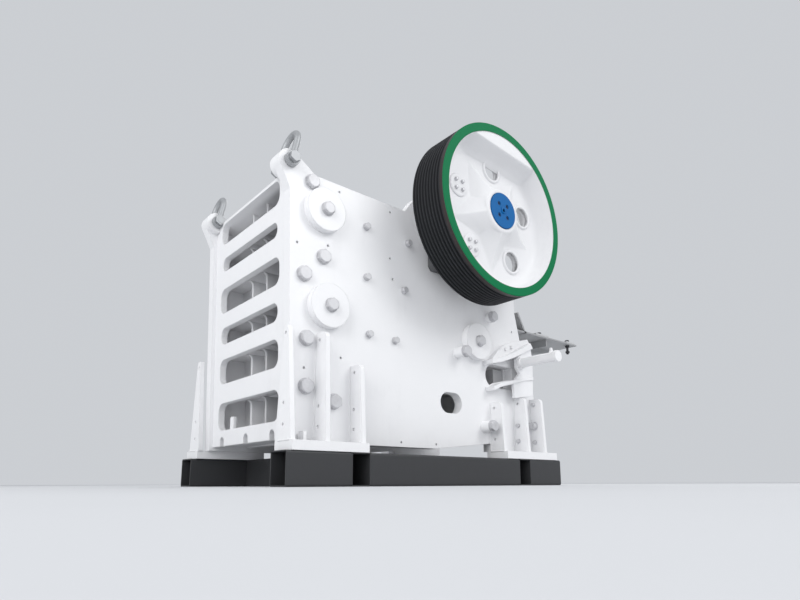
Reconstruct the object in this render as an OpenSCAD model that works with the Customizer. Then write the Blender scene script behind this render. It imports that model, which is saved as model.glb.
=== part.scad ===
// Jaw crusher on its tube skid, in millimetres.
// +X is the side of the grooved flywheel, -Y is the front wall, +Z is up.
// The origin is the middle of the footprint of the whole machine, on the floor.
// Places along the machine are given as a distance behind the front end of the skid.

/* [Skid] */
// Length of the two long rails
rail_l = 2650; // [2560:10:2800]
// Width over the outer faces of the rails
skid_w = 1650; // [1590:10:1740]
// Height of every tube of the skid
tube_h = 210; // [160:5:240]
// Width of a rail tube
rail_w = 190; // [150:5:210]
// Width of a cross tube
cross_w = 148; // [120:2:170]
// Wall of the tubes
tube_wall = 8; // [5:1:12]
// Outer corner radius of the tubes
tube_corner = 16; // [10:1:24]
// Distance to the front cross tube
cross_front_d = 453; // [410:1:500]
// Distance to the rear cross tube
cross_rear_d = 2092; // [2040:2:2150]

/* [Side plates] */
// Width over the outer faces of the side plates
body_w = 1306; // [1250:2:1360]
// Thickness of a side plate
plate_t = 80; // [60:2:90]
// Distance to the front edge of a side plate, at its foot
plate_front_d = 110; // [95:1:130]
// Forward lean of the front edge and the front wall, in degrees
front_lean = 1.86; // [0:0.02:3]
// Height of the upper edge of a side plate
plate_top_z = 2067; // [2040:1:2090]
// Height of the bearing shoulder of a side plate
shoulder_z = 2200; // [2160:5:2240]
// Distance to the upper rear edge of a side plate
plate_rear_d = 2325; // [2300:5:2380]
// Radius of the round lifting lug
lug_r = 82; // [75:1:90]
// Thickness of the lug
lug_t = 125; // [100:1:140]
// Distance to the eye of the lug
lug_d = 54; // [40:1:60]
// Height of the eye of the lug
lug_z = 2103; // [2090:1:2115]
// Radius of the saddle under the bearing housing
saddle_r = 235; // [225:1:245]
// Radius of the oblong hole
sight_r = 81; // [70:1:90]
// Distance between the middles of the oblong hole's round ends
sight_l = 71; // [50:1:90]
// Distance to the middle of the oblong hole's front end
sight_d = 1473; // [1440:1:1500]
// Height of the oblong hole's middle
sight_z = 628; // [610:1:650]

/* [Feet] */
// Thickness of a foot's base plate
foot_t = 60; // [45:1:70]
// Length of a front foot
front_foot_l = 556; // [540:2:640]
// Distance to the front foot
front_foot_d = 35; // [20:1:40]
// Distance to the rear foot
rear_foot_d = 1955; // [1930:5:2000]
// Length of a rear foot
rear_foot_l = 655; // [620:5:690]
// Thickness of a foot's upright gusset
gusset_t = 34; // [20:1:45]
// Diameter of the holes in the gussets
gusset_hole_dia = 22; // [14:1:30]
// Distances and heights of the three gussets of a front foot
front_gussets = [[40, 975], [283, 968], [555, 790]];
// Distances and heights of the three gussets of a rear foot
rear_gussets = [[1958, 668], [2264, 730], [2488, 740]];

/* [Front wall] */
// Thickness of the front wall's face
face_t = 50; // [30:2:70]
// Width of the windows in the front wall
window_w = 943; // [860:1:980]
// Corner radius of the windows
window_r = 68; // [40:1:80]
// Height of the lower edge of the lowest window
window_low_z = 413; // [400:1:430]
// Height of the lower edge of the face
face_low_z = 295; // [285:5:310]
// Height of the upper edge of the face
face_top_z = 2086; // [2080:1:2100]
// Distance of the wall's face behind the front edges of the side plates
face_back = 26; // [10:1:40]
// Thickness of the ribs behind the face
rib_t = 36; // [20:2:50]
// Distance between the upright ribs
rib_x = 225; // [180:5:260]

/* [Jaws] */
// Thickness of a jaw plate without its teeth
jaw_t = 62; // [45:1:80]
// Height of the jaw teeth
tooth_h = 26; // [15:1:35]
// Number of teeth on a jaw plate
teeth = 10; // [8:1:12]
// Gap between a jaw plate and the cheek plate beside it
jaw_side_gap = 8; // [6:1:12]
// Gap between a jaw plate and the seat behind it
seat_gap = 0.3; // [0.1:0.1:1]
// Thickness of the cheek plates
cheek_t = 25; // [16:1:30]
// Distance to the fixed jaw's seat at the top
fixed_top_d = 355; // [340:1:370]
// Distance to the fixed jaw's seat at the bottom
fixed_low_d = 470; // [455:1:490]
// Distance to the swing jaw's seat at the top
swing_top_d = 1180; // [1160:2:1200]
// Distance to the swing jaw's seat at the bottom
swing_low_d = 800; // [780:2:820]

/* [Rotor] */
// Distance to the shaft's axis
shaft_d = 1633; // [1620:1:1650]
// Height of the shaft's axis
shaft_z = 2077; // [2065:1:2090]
// Diameter of the shaft in its bearings
shaft_dia = 220; // [180:2:240]
// Radius of the flywheels
wheel_r = 677; // [650:1:695]
// Distance from the middle plane to a flywheel's outer face
wheel_face_x = 1155; // [1145:1:1175]
// Width of a flywheel's rim
rim_w = 315; // [295:5:330]
// Radial thickness of a flywheel's rim
rim_t = 65; // [55:1:75]
// Number of belt grooves
grooves = 9; // [7:1:10]
// Distance between belt grooves
groove_pitch = 30; // [26:1:31]
// Depth of a belt groove
groove_depth = 20; // [12:1:24]
// Thickness of a flywheel's web
web_t = 46; // [30:2:60]
// Distance of the web below the wheel's outer face
web_depth = 98; // [80:2:110]
// Radius of the blue hub cover
hub_cover_r = 141; // [130:1:150]
// Thickness of the hub cover
hub_cover_t = 35; // [20:1:38]
// Distance of the hub cover's back below the wheel's outer face
cover_depth = 60; // [50:1:70]
// Radius to the tips of the star of ribs
star_r = 445; // [380:5:480]
// Radius to the middles of the holes and bolt pads in the web
web_hole_r = 368; // [350:1:385]
// Radius of the holes in the web
web_hole = 80; // [60:1:90]
// Distance from the axis to the counterweight's straight edge
counterweight_r = 499; // [470:1:520]
// Running clearance round the shaft
run_gap = 0.08; // [0.02:0.01:0.1]

/* [Fasteners] */
// Radius of the round cover discs
disc_r = 150; // [138:1:156]
// Thickness of the round cover discs
disc_t = 55; // [40:1:60]
// Width across flats of the large frame bolts
bolt_af = 86; // [70:1:95]
// Height of a large bolt's head
bolt_head = 36; // [28:1:50]
// Width across flats of the cheek plate bolts
cheek_bolt_af = 44; // [36:1:52]
// Diameter of the small tapped holes in the side plates
tapped_dia = 18; // [12:1:24]

/* [Adjustment] */
// Width of the toggle plate
toggle_w = 900; // [760:10:960]
// Thickness of the toggle plate
toggle_t = 54; // [40:2:70]
// Radius of the toggle plate's round ends
toggle_r = 44; // [36:1:50]
// Distance to the front face of the rear wall
rear_wall_d = 2236; // [2226:2:2250]
// Depth of the adjusting wedge in front of the rear wall
wedge_l = 126; // [110:1:140]
// Height of the tension rod
rod_z = 600; // [585:1:610]
// Height of the U-shaped opening's middle
slot_z = 900; // [890:1:910]
// Height of the U-shaped opening
slot_h = 192; // [180:2:200]
// Distance to the front end of the U-shaped opening
slot_front_d = 1913; // [1900:1:1925]
// Length of the adjusting cylinder outside its bracket
cylinder_l = 350; // [300:5:400]
// Diameter of the adjusting cylinder
cylinder_dia = 80; // [60:1:95]

/* [Motor bracket] */
// Distance to the rear end of the motor bracket
bracket_rear_d = 3456; // [3300:2:3500]
// Height of the motor bracket's upper face
bracket_z = 1412; // [1400:1:1425]
// Width of the motor bracket
bracket_w = 1100; // [1000:10:1140]

/* [Shackles] */
// Diameter of the shackle's bar
shackle_bar = 44; // [36:1:48]
// Diameter of the shackle's pin
shackle_pin = 50; // [44:1:54]
// Outer radius of the shackle's eyes
shackle_eye = 48; // [42:1:52]
// Distance from the pin to the middle of the bow's crown
shackle_reach = 238; // [225:1:250]
// Gap between the lug and each eye of the shackle
shackle_side_gap = 6; // [5:0.5:9]
// Lean of the shackle towards the rear
shackle_lean = 12; // [0:1:40]

/* [Hidden] */
ROUND = 96;

paint = "white";
steel = "silver";
dark = "#2b2b2d";

// The machine runs from the front of the lugs to the end of the motor bracket
front_y = -(bracket_rear_d + lug_d - lug_r) / 2;

plate_x = body_w / 2 - plate_t;
rail_x = skid_w / 2 - rail_w;
foot_z = tube_h + foot_t;
// Width of the skid that stands out beside a side plate, and carries the gussets
ledge_w = (skid_w - body_w) / 2;
lug_x = body_w / 2 - lug_t / 2;
// Half the width over a shackle's eyes
shackle_half = lug_t / 2 + shackle_side_gap + shackle_bar;
// How far a shackle's pin stands out on the inner side, and the room round the moving eye
pin_end = 22;
swing_room = 8;
// Front edge of the side plates, and the front wall's face, at a height
function front_d(z) = plate_front_d - (z - foot_z) * tan(front_lean);
function face_d(z) = front_d(z) + face_back;
chamber_x = plate_x - cheek_t;
jaw_w = 2 * (chamber_x - jaw_side_gap);

// Window heights from the lowest up, and the bars between them
window_h = [203, 189, 130, 195, 110, 176];
window_bar = [147, 119, 120, 142, 118];
function window_z(i) = i == 0 ? window_low_z : window_z(i - 1) + window_h[i - 1] + window_bar[i - 1];

// Jaw seats run straight between these heights
fixed_top_z = 2050;
fixed_low_z = 300;
swing_top_z = 2010;
swing_low_z = 420;
fixed_lean = atan((fixed_low_d - fixed_top_d) / (fixed_top_z - fixed_low_z));
swing_lean = atan((swing_top_d - swing_low_d) / (swing_top_z - swing_low_z));
function fixed_d(z) = fixed_low_d + (fixed_top_d - fixed_low_d) * (z - fixed_low_z)
    / (fixed_top_z - fixed_low_z);
function swing_d(z) = swing_low_d + (swing_top_d - swing_low_d) * (z - swing_low_z)
    / (swing_top_z - swing_low_z);

// The tension rod runs from the back of the swing jaw through the rear wall and the spring
rod_r = 24;
rod_washer_t = 12;
jaw_back = [[1298, 800], [1270, 560]];
rod_front_d = jaw_back[1][0] + (jaw_back[0][0] - jaw_back[1][0]) * (rod_z + rod_r - jaw_back[1][1])
    / (jaw_back[0][1] - jaw_back[1][1]) + seat_gap;
wall_back_d = rear_wall_d + 175;
spring_l = 199;
spring_d = wall_back_d + seat_gap;
rod_nut_d = spring_d + spring_l + rod_washer_t + seat_gap;

// Middle lines of the toggle plate's two ends
toggle_front = [1275, 690];
wedge_d = rear_wall_d - wedge_l;
toggle_rear = [wedge_d - toggle_r - seat_gap, slot_z + 12];

// Directions of the holes and the bolt pads in a flywheel's web, and their middles
hole_angles = [89, 15, 302];
pad_angles = [160, 230];
function wheel_at(a) = [shaft_d + web_hole_r * cos(a), shaft_z + web_hole_r * sin(a)];

// Plate across the flanges of a cylinder bracket, from the side plate's face
end_plate_x = 55;
end_plate_t = 26;

// Holes in a gusset: below its top, and above the base plate
gusset_hole_top = 48;
gusset_hole_z = [95, 225];

// Motor bracket: plate thickness, depth at the rear wall, and its upturned front edge
bracket_t = 20;
bracket_h = 285;
lip_d = wall_back_d + 89;
lip_h = 170;
// Distance and length of the motor's two slide rails, and the bolts in the rear one
slide_rails = [[lip_d + 280, 200], [bracket_rear_d - 176, 140]];
slide_t = 16;
slide_bolt = 22;

// Places of the bolts in a side plate, as distance and height
front_bolts = [[220, 2008], [322, 1504], [178, 1351], [208, 928], [212, 619], [425, 540]];
sleeve_bolts = [[1585, 1032, 90], [1981, 1399, 34], [1880, 466, 84]];
discs = [[314, 1823], [358, 1164], [1793, 1155]];
tapped_holes = [[444, 2014], [899, 2009], [124, 1554], [359, 1594], [898, 1646], [922, 1491],
                [477, 838], [199, 736], [2278, 1325], [1001, 303], [1341, 302]];
cheek_bolts = [[676, 1826], [682, 1448], [706, 1037], [941, 1030], [1069, 1809], [1026, 1426]];

// Point where a line from p touches the circle round c, on the side given by s
function touch(p, c, r, s) =
    let (v = p - c, a = atan2(v[1], v[0]), b = acos(r / norm(v)))
    c + r * [cos(a + s * b), sin(a + s * b)];

// Draws an outline of distance and height, and gives it a thickness along X
module outline(x, t) {
    translate([x, front_y, 0]) rotate([90, 0, 90]) linear_extrude(t) children();
}

// A round bar along X
module bar(x, l, r, d, z, fn = ROUND) {
    translate([x, front_y + d, z]) rotate([0, 90, 0]) cylinder(h = l, r = r, $fn = fn);
}

// A block given by its middle plane at x = 0, its near edge and its lower edge
module block(w, d, l, z, h) {
    translate([-w / 2, front_y + d, z]) cube([w, l, h]);
}

// A chamfered hexagon head on a washer, standing on the plane x
module hex_head(x, d, z, af, h) {
    washer = h * 0.18;
    corner = af / sqrt(3);
    bar(x, washer, af * 0.62, d, z);
    intersection() {
        bar(x + washer - 0.01, h - washer, corner, d, z, 6);
        translate([x, front_y + d, z]) rotate([0, 90, 0])
            cylinder(h = h, r1 = corner + h * 1.4 - af * 0.05, r2 = af * 0.47, $fn = 48);
    }
}

module both(side) {
    if (side > 0) children();
    else mirror([1, 0, 0]) children();
}

// Outline of a tube with round outer corners, lying on y = 0
module tube_outline(w) {
    r = tube_corner;
    difference() {
        union() {
            translate([r, 0]) square([w - 2 * r, tube_h]);
            translate([0, r]) square([w, tube_h - 2 * r]);
            for (x = [r, w - r], y = [r, tube_h - r]) translate([x, y]) circle(r = r, $fn = 32);
        }
        translate([tube_wall, tube_wall]) square([w - 2 * tube_wall, tube_h - 2 * tube_wall]);
    }
}

module tube_y(x, w, d, l) {
    translate([x, front_y + d + l, 0]) rotate([90, 0, 0]) linear_extrude(l) tube_outline(w);
}

module rail(side) {
    cuts = [[0, cross_front_d], [cross_front_d + cross_w, cross_rear_d],
            [cross_rear_d + cross_w, rail_l]];
    color(dark) both(side) for (c = cuts) tube_y(rail_x, rail_w, c[0], c[1] - c[0]);
}

module cross_tube(d) {
    color(dark) translate([-skid_w / 2, front_y + d, 0]) rotate([90, 0, 90])
        linear_extrude(skid_w) tube_outline(cross_w);
}

// The lug's neck: it starts inside the plate, and ends just inside the round of the lug
module lug_outline() {
    eye = [lug_d, lug_z];
    inset = 2;
    low_z = lug_z - 195;
    low = [front_d(low_z) + inset, low_z];
    back = [lug_d + 200, plate_top_z - inset];
    polygon([low, [low[0] + 90, low_z], [back[0], back[1] - 60], back,
             touch(back, eye, lug_r - inset / 2, 1), eye, touch(low, eye, lug_r - inset / 2, -1)]);
}

module side_plate_body() {
    foot_rear_d = rear_foot_d + rear_foot_l;
    outline(plate_x, plate_t) polygon([
        [plate_front_d, foot_z], [1340, foot_z], [rear_foot_d, foot_z + 64], [rear_foot_d, foot_z],
        [foot_rear_d - 40, foot_z], [2553, 760], [2529, 923], [2400, 1205], [plate_rear_d, 1505],
        [plate_rear_d, 1821], [shaft_d + 305, shoulder_z], [shaft_d - 490, shoulder_z],
        [shaft_d - 590, plate_top_z], [front_d(plate_top_z), plate_top_z]]);
}

module side_plate(side) {
    color(paint) both(side) difference() {
        union() {
            side_plate_body();
            outline(plate_x, plate_t) lug_outline();
            bar(body_w / 2 - lug_t, lug_t, lug_r, lug_d, lug_z);
        }
        bar(body_w / 2 - lug_t - 1, lug_t + 2, shackle_pin / 2 + 0.5, lug_d, lug_z);
        // Saddle of the bearing housing, open at the top
        bar(plate_x - 1, plate_t + 2, saddle_r, shaft_d, shaft_z);
        translate([plate_x - 1, front_y + shaft_d - saddle_r, shaft_z])
            cube([plate_t + 2, 2 * saddle_r, shoulder_z]);
        // Oblong hole
        for (d = [sight_d, sight_d + sight_l]) bar(plate_x - 1, plate_t + 2, sight_r, d, sight_z);
        translate([plate_x - 1, front_y + sight_d, sight_z - sight_r])
            cube([plate_t + 2, sight_l, 2 * sight_r]);
        // Blind tapped holes
        for (p = tapped_holes) bar(body_w / 2 - 30, 31, tapped_dia / 2, p[0], p[1], 32);
        // U-shaped opening of the adjustment
        bar(plate_x - 1, plate_t + 2, slot_h / 2, slot_front_d + slot_h / 2, slot_z);
        translate([plate_x - 1, front_y + slot_front_d + slot_h / 2, slot_z - slot_h / 2])
            cube([plate_t + 2, 245, slot_h]);
    }
}

// Outline of an upright gusset beside the side plate, with its outer upper corner rounded
module gusset_outline(top) {
    outer = 0.66 * ledge_w;
    r = 0.21 * ledge_w;
    polygon([[0, foot_z - 1], [0.80 * ledge_w, foot_z - 1], [outer + 1, top - r], [outer - r, top],
             [0, top]]);
    translate([outer - r, top - r]) circle(r = r, $fn = 48);
}

// Outline of the foremost gusset, which reaches round the side plate's corner
module front_gusset_outline(top) {
    polygon([[-0.28 * ledge_w, foot_z - 1], [0.80 * ledge_w, foot_z - 1], [0.43 * ledge_w, top - 30],
             [0.36 * ledge_w, top], [0.13 * ledge_w, top]]);
}

module foot(side, d, l, gussets) {
    color(paint) both(side) {
        translate([plate_x + plate_t / 2, front_y + d, tube_h])
            cube([skid_w / 2 - plate_x - plate_t / 2, l, foot_t]);
        for (g = gussets) difference() {
            translate([body_w / 2, front_y + g[0] + gusset_t, 0]) rotate([90, 0, 0])
                linear_extrude(gusset_t)
                    if (g[0] < plate_front_d) front_gusset_outline(g[1]);
                    else gusset_outline(g[1]);
            for (z = [g[1] - gusset_hole_top, foot_z + gusset_hole_z[1], foot_z + gusset_hole_z[0]])
                translate([body_w / 2 + ledge_w * 0.25, front_y + g[0] - 1, z]) rotate([-90, 0, 0])
                    cylinder(h = gusset_t + 2, r = gusset_hole_dia / 2, $fn = 32);
        }
    }
}

// Places a shape in the leaning front wall: x across, y into the wall, z up from its lower edge
module in_wall() {
    translate([0, front_y + face_d(face_low_z), face_low_z]) rotate([front_lean, 0, 0]) children();
}

module window(i) {
    z = window_z(i) - face_low_z;
    r = min(window_r, window_h[i] / 2 - 1);
    w = window_w - (i == 4 ? 60 : i == 2 ? 40 : i == 1 ? 20 : 0);
    in_wall() {
        for (x = [-w / 2 + r, w / 2 - r], h = [z + r, z + window_h[i] - r])
            translate([x, -1, h]) rotate([-90, 0, 0]) cylinder(h = face_t + 2, r = r, $fn = 48);
        translate([-w / 2 + r, -1, z]) cube([w - 2 * r, face_t + 2, window_h[i]]);
        translate([-w / 2, -1, z + r]) cube([w, face_t + 2, window_h[i] - 2 * r]);
    }
}

// An upright rib behind window i, whose front edge curves back below the bar above it
module wall_rib(i, x) {
    z = window_z(i);
    h = window_h[i];
    front = face_d(z) + face_t - 5;
    outline(x - 12, 24) polygon([
        [front, z - 20], [fixed_d(z) - 10, z - 20], [fixed_d(z + h) - 10, z + h + 20],
        [front + 120, z + h + 20], [front + 95, z + h * 0.94], [front + 55, z + h * 0.82],
        [front + 25, z + h * 0.62], [front + 10, z + h * 0.38]]);
}

module front_wall() {
    w = 2 * plate_x;
    back_t = 60;
    notch_r = 26;
    color(paint) difference() {
        union() {
            difference() {
                in_wall() translate([-w / 2, 0, 0])
                    cube([w, face_t, (face_top_z - face_low_z) / cos(front_lean)]);
                for (i = [0:5]) window(i);
            }
            // Inclined wall that carries the fixed jaw plate
            outline(-plate_x, w) polygon([
                [fixed_d(fixed_low_z) - back_t, fixed_low_z], [fixed_low_d, fixed_low_z],
                [fixed_top_d, fixed_top_z], [fixed_top_d - back_t, fixed_top_z]]);
            // Level ribs behind the bars, and the top and bottom ledges
            for (i = [0:4]) {
                z = window_z(i) + window_h[i] + window_bar[i] / 2 - rib_t / 2;
                outline(-plate_x, w) polygon([
                    [face_d(z) + 10, z], [fixed_d(z) - 10, z],
                    [fixed_d(z) - 10, z + rib_t], [face_d(z) + 10, z + rib_t]]);
            }
            outline(-plate_x, w) polygon([
                [face_d(fixed_top_z) + 10, fixed_top_z + 12], [fixed_top_d - back_t, fixed_top_z - 20],
                [fixed_top_d - 0.5, fixed_top_z - 0.5], [fixed_top_d - 20, face_top_z],
                [face_d(fixed_top_z) + 10, face_top_z]]);
            outline(-plate_x, w) polygon([
                [face_d(face_low_z) + 10, face_low_z + 60], [fixed_low_d - 10, fixed_low_z],
                [fixed_low_d - 10, fixed_low_z + rib_t], [face_d(face_low_z) + 10, face_low_z + 100]]);
            for (i = [0:5], x = [-rib_x, 0, rib_x]) wall_rib(i, x);
        }
        // Notches in the lower edge
        for (x = [-0.35, 0, 0.335]) in_wall() {
            translate([x * w, -1, 30]) rotate([-90, 0, 0]) cylinder(h = face_t + 2, r = notch_r, $fn = 48);
            translate([x * w - notch_r, -1, -1]) cube([2 * notch_r, face_t + 2, 31]);
        }
        // Room for the thick lugs, and for the shackles' eyes and pins
        for (s = [-1, 1]) both(s) {
            bar(body_w / 2 - lug_t - seat_gap, lug_t, lug_r + seat_gap, lug_d, lug_z);
            bar(lug_x - shackle_half - pin_end - swing_room, shackle_half, shackle_eye + swing_room,
                lug_d, lug_z);
        }
    }
}

module rear_wall() {
    w = 2 * plate_x;
    low_z = 480;
    high_z = 1420;
    back_t = 45;
    pocket_w = 0.21 * w;
    color(paint) difference() {
        union() {
            block(w, rear_wall_d, 50, low_z, high_z - low_z);
            for (z = [low_z, 700, 1040, 1220, high_z - rib_t])
                block(w, rear_wall_d, wall_back_d - 5 - rear_wall_d, z, rib_t);
            for (x = [-0.29, 0, 0.29])
                translate([x * w - 16, front_y + rear_wall_d, low_z + 20])
                    cube([32, 150, high_z - low_z - 40]);
            block(w, wall_back_d - back_t, back_t, low_z + 20, high_z - low_z - 20);
        }
        for (x = [-0.29, 0.29], z = [780, 1100])
            translate([x * w - pocket_w / 2, front_y + wall_back_d - back_t - 1, z])
                cube([pocket_w, back_t + 2, 100]);
        translate([0, front_y + rear_wall_d - 10, rod_z]) rotate([-90, 0, 0])
            cylinder(h = wall_back_d - rear_wall_d + 20, r = rod_r * 1.5, $fn = 48);
    }
}

module cover_discs(side) {
    color(paint) both(side) for (p = discs) {
        bar(body_w / 2, disc_t, disc_r, p[0], p[1]);
        hex_head(body_w / 2 + disc_t - 0.01, p[0], p[1], bolt_af * 0.9, bolt_head);
    }
}

module frame_bolts(side) {
    color(steel) both(side) {
        for (p = front_bolts) hex_head(body_w / 2, p[0], p[1], bolt_af, bolt_head);
        for (p = sleeve_bolts) {
            bar(body_w / 2, p[2], 46, p[0], p[1]);
            hex_head(body_w / 2 + p[2] - 0.01, p[0], p[1], bolt_af * 0.9, bolt_head);
        }
    }
}

// One cheek plate: the upper and lower ones meet at a level joint
module cheek_outline(z0, z1) {
    polygon([[fixed_d(z0) + jaw_t + tooth_h, z0], [swing_d(z0) - 20, z0],
             [swing_d(z1) - 20, z1], [fixed_d(z1) + jaw_t + tooth_h, z1]]);
}

module cheek_plates(side) {
    split_z = 1200;
    color("#8a8d90") both(side) {
        outline(chamber_x, cheek_t) cheek_outline(470, split_z - 4);
        outline(chamber_x, cheek_t) cheek_outline(split_z, 2040);
    }
}

module cheek_bolt_set(side) {
    color(steel) both(side) for (p = cheek_bolts)
        hex_head(body_w / 2, p[0], p[1], cheek_bolt_af, 34);
}

// A toothed plate standing on z = 0, with its back on y = 0 and its teeth towards +Y
module jaw_plate(length) {
    pitch = jaw_w / teeth;
    linear_extrude(length) polygon(concat(
        [[jaw_w / 2, 0], [jaw_w / 2, jaw_t]],
        [for (i = [0:teeth - 1], k = [0.25, 0.42, 0.58, 0.75])
            [jaw_w / 2 - (i + k) * pitch, k == 0.25 || k == 0.75 ? jaw_t : jaw_t + tooth_h]],
        [[-jaw_w / 2, jaw_t], [-jaw_w / 2, 0]]));
}

module fixed_jaw_plate() {
    low_z = 400;
    color("#77797c") translate([0, front_y + fixed_d(low_z) + seat_gap, low_z])
        rotate([fixed_lean, 0, 0]) jaw_plate(1600);
}

module swing_jaw_plate() {
    low_z = 440;
    color("#77797c") translate([0, front_y + swing_d(low_z) - seat_gap, low_z])
        rotate([-swing_lean, 0, 0]) mirror([0, 1, 0]) jaw_plate(1560);
}

module swing_jaw() {
    w = jaw_w;
    pocket = 0.19 * w;
    color("#55585c") difference() {
        union() {
            bar(-w / 2, w, 275, shaft_d, shaft_z);
            outline(-w / 2, w) polygon([
                [swing_low_d, swing_low_z], [swing_top_d, swing_top_z], [shaft_d - 240, shaft_z - 20],
                [shaft_d + 200, shaft_z - 180], [1537, 1500], jaw_back[0], jaw_back[1], [1031, 400]]);
        }
        bar(-w / 2 - 1, w + 2, shaft_dia / 2 + run_gap, shaft_d, shaft_z);
        // Seat of the toggle plate
        bar(-w / 2 - 1, w + 2, toggle_r + seat_gap, toggle_front[0], toggle_front[1]);
        // Pockets between the ribs on the back
        for (x = [-0.345, -0.115, 0.115, 0.345])
            outline(x * w - pocket / 2, pocket) polygon([
                [swing_d(900) + 70, 820], [swing_d(1650) + 70, 1600], [1520, 1650], [1655, 1500],
                [1440, 820]]);
    }
}

module toggle_plate() {
    a = toggle_front;
    b = toggle_rear;
    color("#77797c") union() {
        for (p = [a, b]) bar(-toggle_w / 2, toggle_w, toggle_r, p[0], p[1]);
        outline(-toggle_w / 2, toggle_w)
            polygon([a - [0, toggle_t / 2], b - [0, toggle_t / 2], b + [0, toggle_t / 2], a + [0, toggle_t / 2]]);
    }
}

module adjusting_wedge() {
    color("#8a8d90") block(2 * plate_x - 10, wedge_d, rear_wall_d - seat_gap - wedge_d, slot_z - 65, 150);
}

// The bracket stands on the side plate round the U-shaped opening and carries the cylinder
module cylinder_bracket(side) {
    x0 = body_w / 2;
    color(paint) both(side) {
        // Upper flange and the rounded web above it
        outline(x0, 105) polygon([[1883, 1010], [1999, 1042], [2160, 1101], [2313, 1178], [2401, 1224],
                                  [2432, 1180], [2330, 1134], [2172, 1062], [2008, 1004], [1893, 976]]);
        outline(x0, 45) polygon([[1935, 1015], [2023, 1103], [2114, 1175], [2213, 1212], [2314, 1241],
                                 [2436, 1275], [2470, 1235], [2420, 1195], [2313, 1170], [2160, 1093],
                                 [1999, 1034]]);
        // Lower flange
        outline(x0, 90) polygon([[1907, 787], [2008, 833], [2183, 874], [2334, 912], [2440, 930],
                                 [2440, 900], [2332, 884], [2181, 842], [2014, 800], [1922, 760]]);
        // Plate across the ends of the flanges
        outline(x0 + end_plate_x, end_plate_t) polygon([
            [2185, 720], [2436, 762], [2452, 1063], [2430, 1186], [2366, 1150], [2262, 1095],
            [2225, 1060], [2225, 990], [2262, 940], [2175, 850]]);
        for (p = [[2125, 1140], [2205, 1165]]) hex_head(x0 + 44.9, p[0], p[1], 26, 16);
    }
}

module adjusting_cylinder(side) {
    x0 = body_w / 2 + end_plate_x + end_plate_t + seat_gap;
    d = 2275;
    z = 1030;
    color(paint) both(side) {
        bar(x0, 26, cylinder_dia * 0.65, d, z);
        bar(x0 + 25, cylinder_l - 20, cylinder_dia / 2, d, z);
        bar(x0 + cylinder_l, 34, cylinder_dia / 2 + 7, d, z);
        outline(x0 + cylinder_l - 40, 14) polygon([[d - 24, z + 30], [d + 24, z + 30],
                                                   [d + 10, z + 78], [d - 10, z + 78]]);
    }
}

module tension_rod() {
    color(steel) translate([0, front_y + rod_front_d, rod_z]) rotate([-90, 0, 0]) {
        cylinder(h = rod_nut_d + 65 - rod_front_d, r = rod_r, $fn = 48);
        translate([0, 0, rod_nut_d - rod_washer_t - rod_front_d])
            cylinder(h = rod_washer_t, r = 78, $fn = ROUND);
        translate([0, 0, rod_nut_d - rod_front_d]) cylinder(h = 40, r = 40, $fn = 6);
    }
}

module return_spring() {
    color("#a8322a") translate([0, front_y + spring_d, rod_z]) rotate([-90, 0, 0])
        difference() {
            cylinder(h = spring_l, r = 70, $fn = ROUND);
            translate([0, 0, -1]) cylinder(h = spring_l + 2, r = 44, $fn = ROUND);
        }
}

module motor_bracket() {
    t = bracket_t;
    w = bracket_w;
    flange_d = wall_back_d + seat_gap;
    low_z = bracket_z - bracket_h;
    color("#5a5d60") {
        // Bent plate with its upturned front edge
        outline(-w / 2, w) polygon([
            [lip_d, bracket_z + lip_h - 10], [lip_d + 22, bracket_z + lip_h], [lip_d + 118, bracket_z],
            [bracket_rear_d, bracket_z], [bracket_rear_d, bracket_z - t], [lip_d + 104, bracket_z - t]]);
        block(w, flange_d, t, low_z, bracket_h - t / 2);
        for (x = [-w / 2, -8, w / 2 - 16]) outline(x, 16) polygon([
            [flange_d + t - 1, low_z], [flange_d + t - 1, bracket_z - t + 1],
            [bracket_rear_d - t, bracket_z - t + 1], [bracket_rear_d - t, bracket_z - 2 * t],
            [lip_d + 490, bracket_z - 0.39 * bracket_h], [lip_d + 200, bracket_z - 0.74 * bracket_h],
            [flange_d + 3 * t, low_z]]);
        block(w, lip_d + 446, 16, bracket_z - 0.39 * bracket_h, 0.39 * bracket_h - t + 1);
        for (r = slide_rails) block(w, r[0], r[1], bracket_z - 1, slide_t);
        for (x = [-w / 2 + 40, w / 2 - 40])
            translate([x, front_y + slide_rails[1][0] + slide_rails[1][1] / 2, bracket_z - 105])
                cylinder(h = 105 + slide_t, r = slide_bolt / 2, $fn = 32);
    }
}

module bearing_housing(side) {
    flange_t = 70;
    color("#7d8084") both(side) {
        difference() {
            union() {
                bar(plate_x + 2, 150 + plate_t, saddle_r - seat_gap, shaft_d, shaft_z);
                outline(body_w / 2 + seat_gap, flange_t) polygon([
                    [shaft_d - 330, shaft_z - 430], [shaft_d + 330, shaft_z - 430],
                    [shaft_d + 355, shaft_z - 400], [shaft_d + 355, shaft_z + 60],
                    [shaft_d + 200, shaft_z + 275], [shaft_d - 200, shaft_z + 275],
                    [shaft_d - 355, shaft_z + 60], [shaft_d - 355, shaft_z - 400]]);
            }
            bar(plate_x - 1, 300, shaft_dia / 2 + run_gap, shaft_d, shaft_z);
        }
        for (d = [-300, 300], z = [-375, -180, 30])
            hex_head(body_w / 2 + seat_gap + flange_t - 0.1, shaft_d + d, shaft_z + z, 52, 32);
        for (a = [30:60:330])
            hex_head(plate_x + 151.9 + plate_t, shaft_d + 190 * cos(a), shaft_z + 190 * sin(a), 26, 14);
    }
}

module eccentric_shaft() {
    color(steel) bar(cover_depth - wheel_face_x, 2 * (wheel_face_x - cover_depth), shaft_dia / 2,
                     shaft_d, shaft_z);
}

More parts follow.
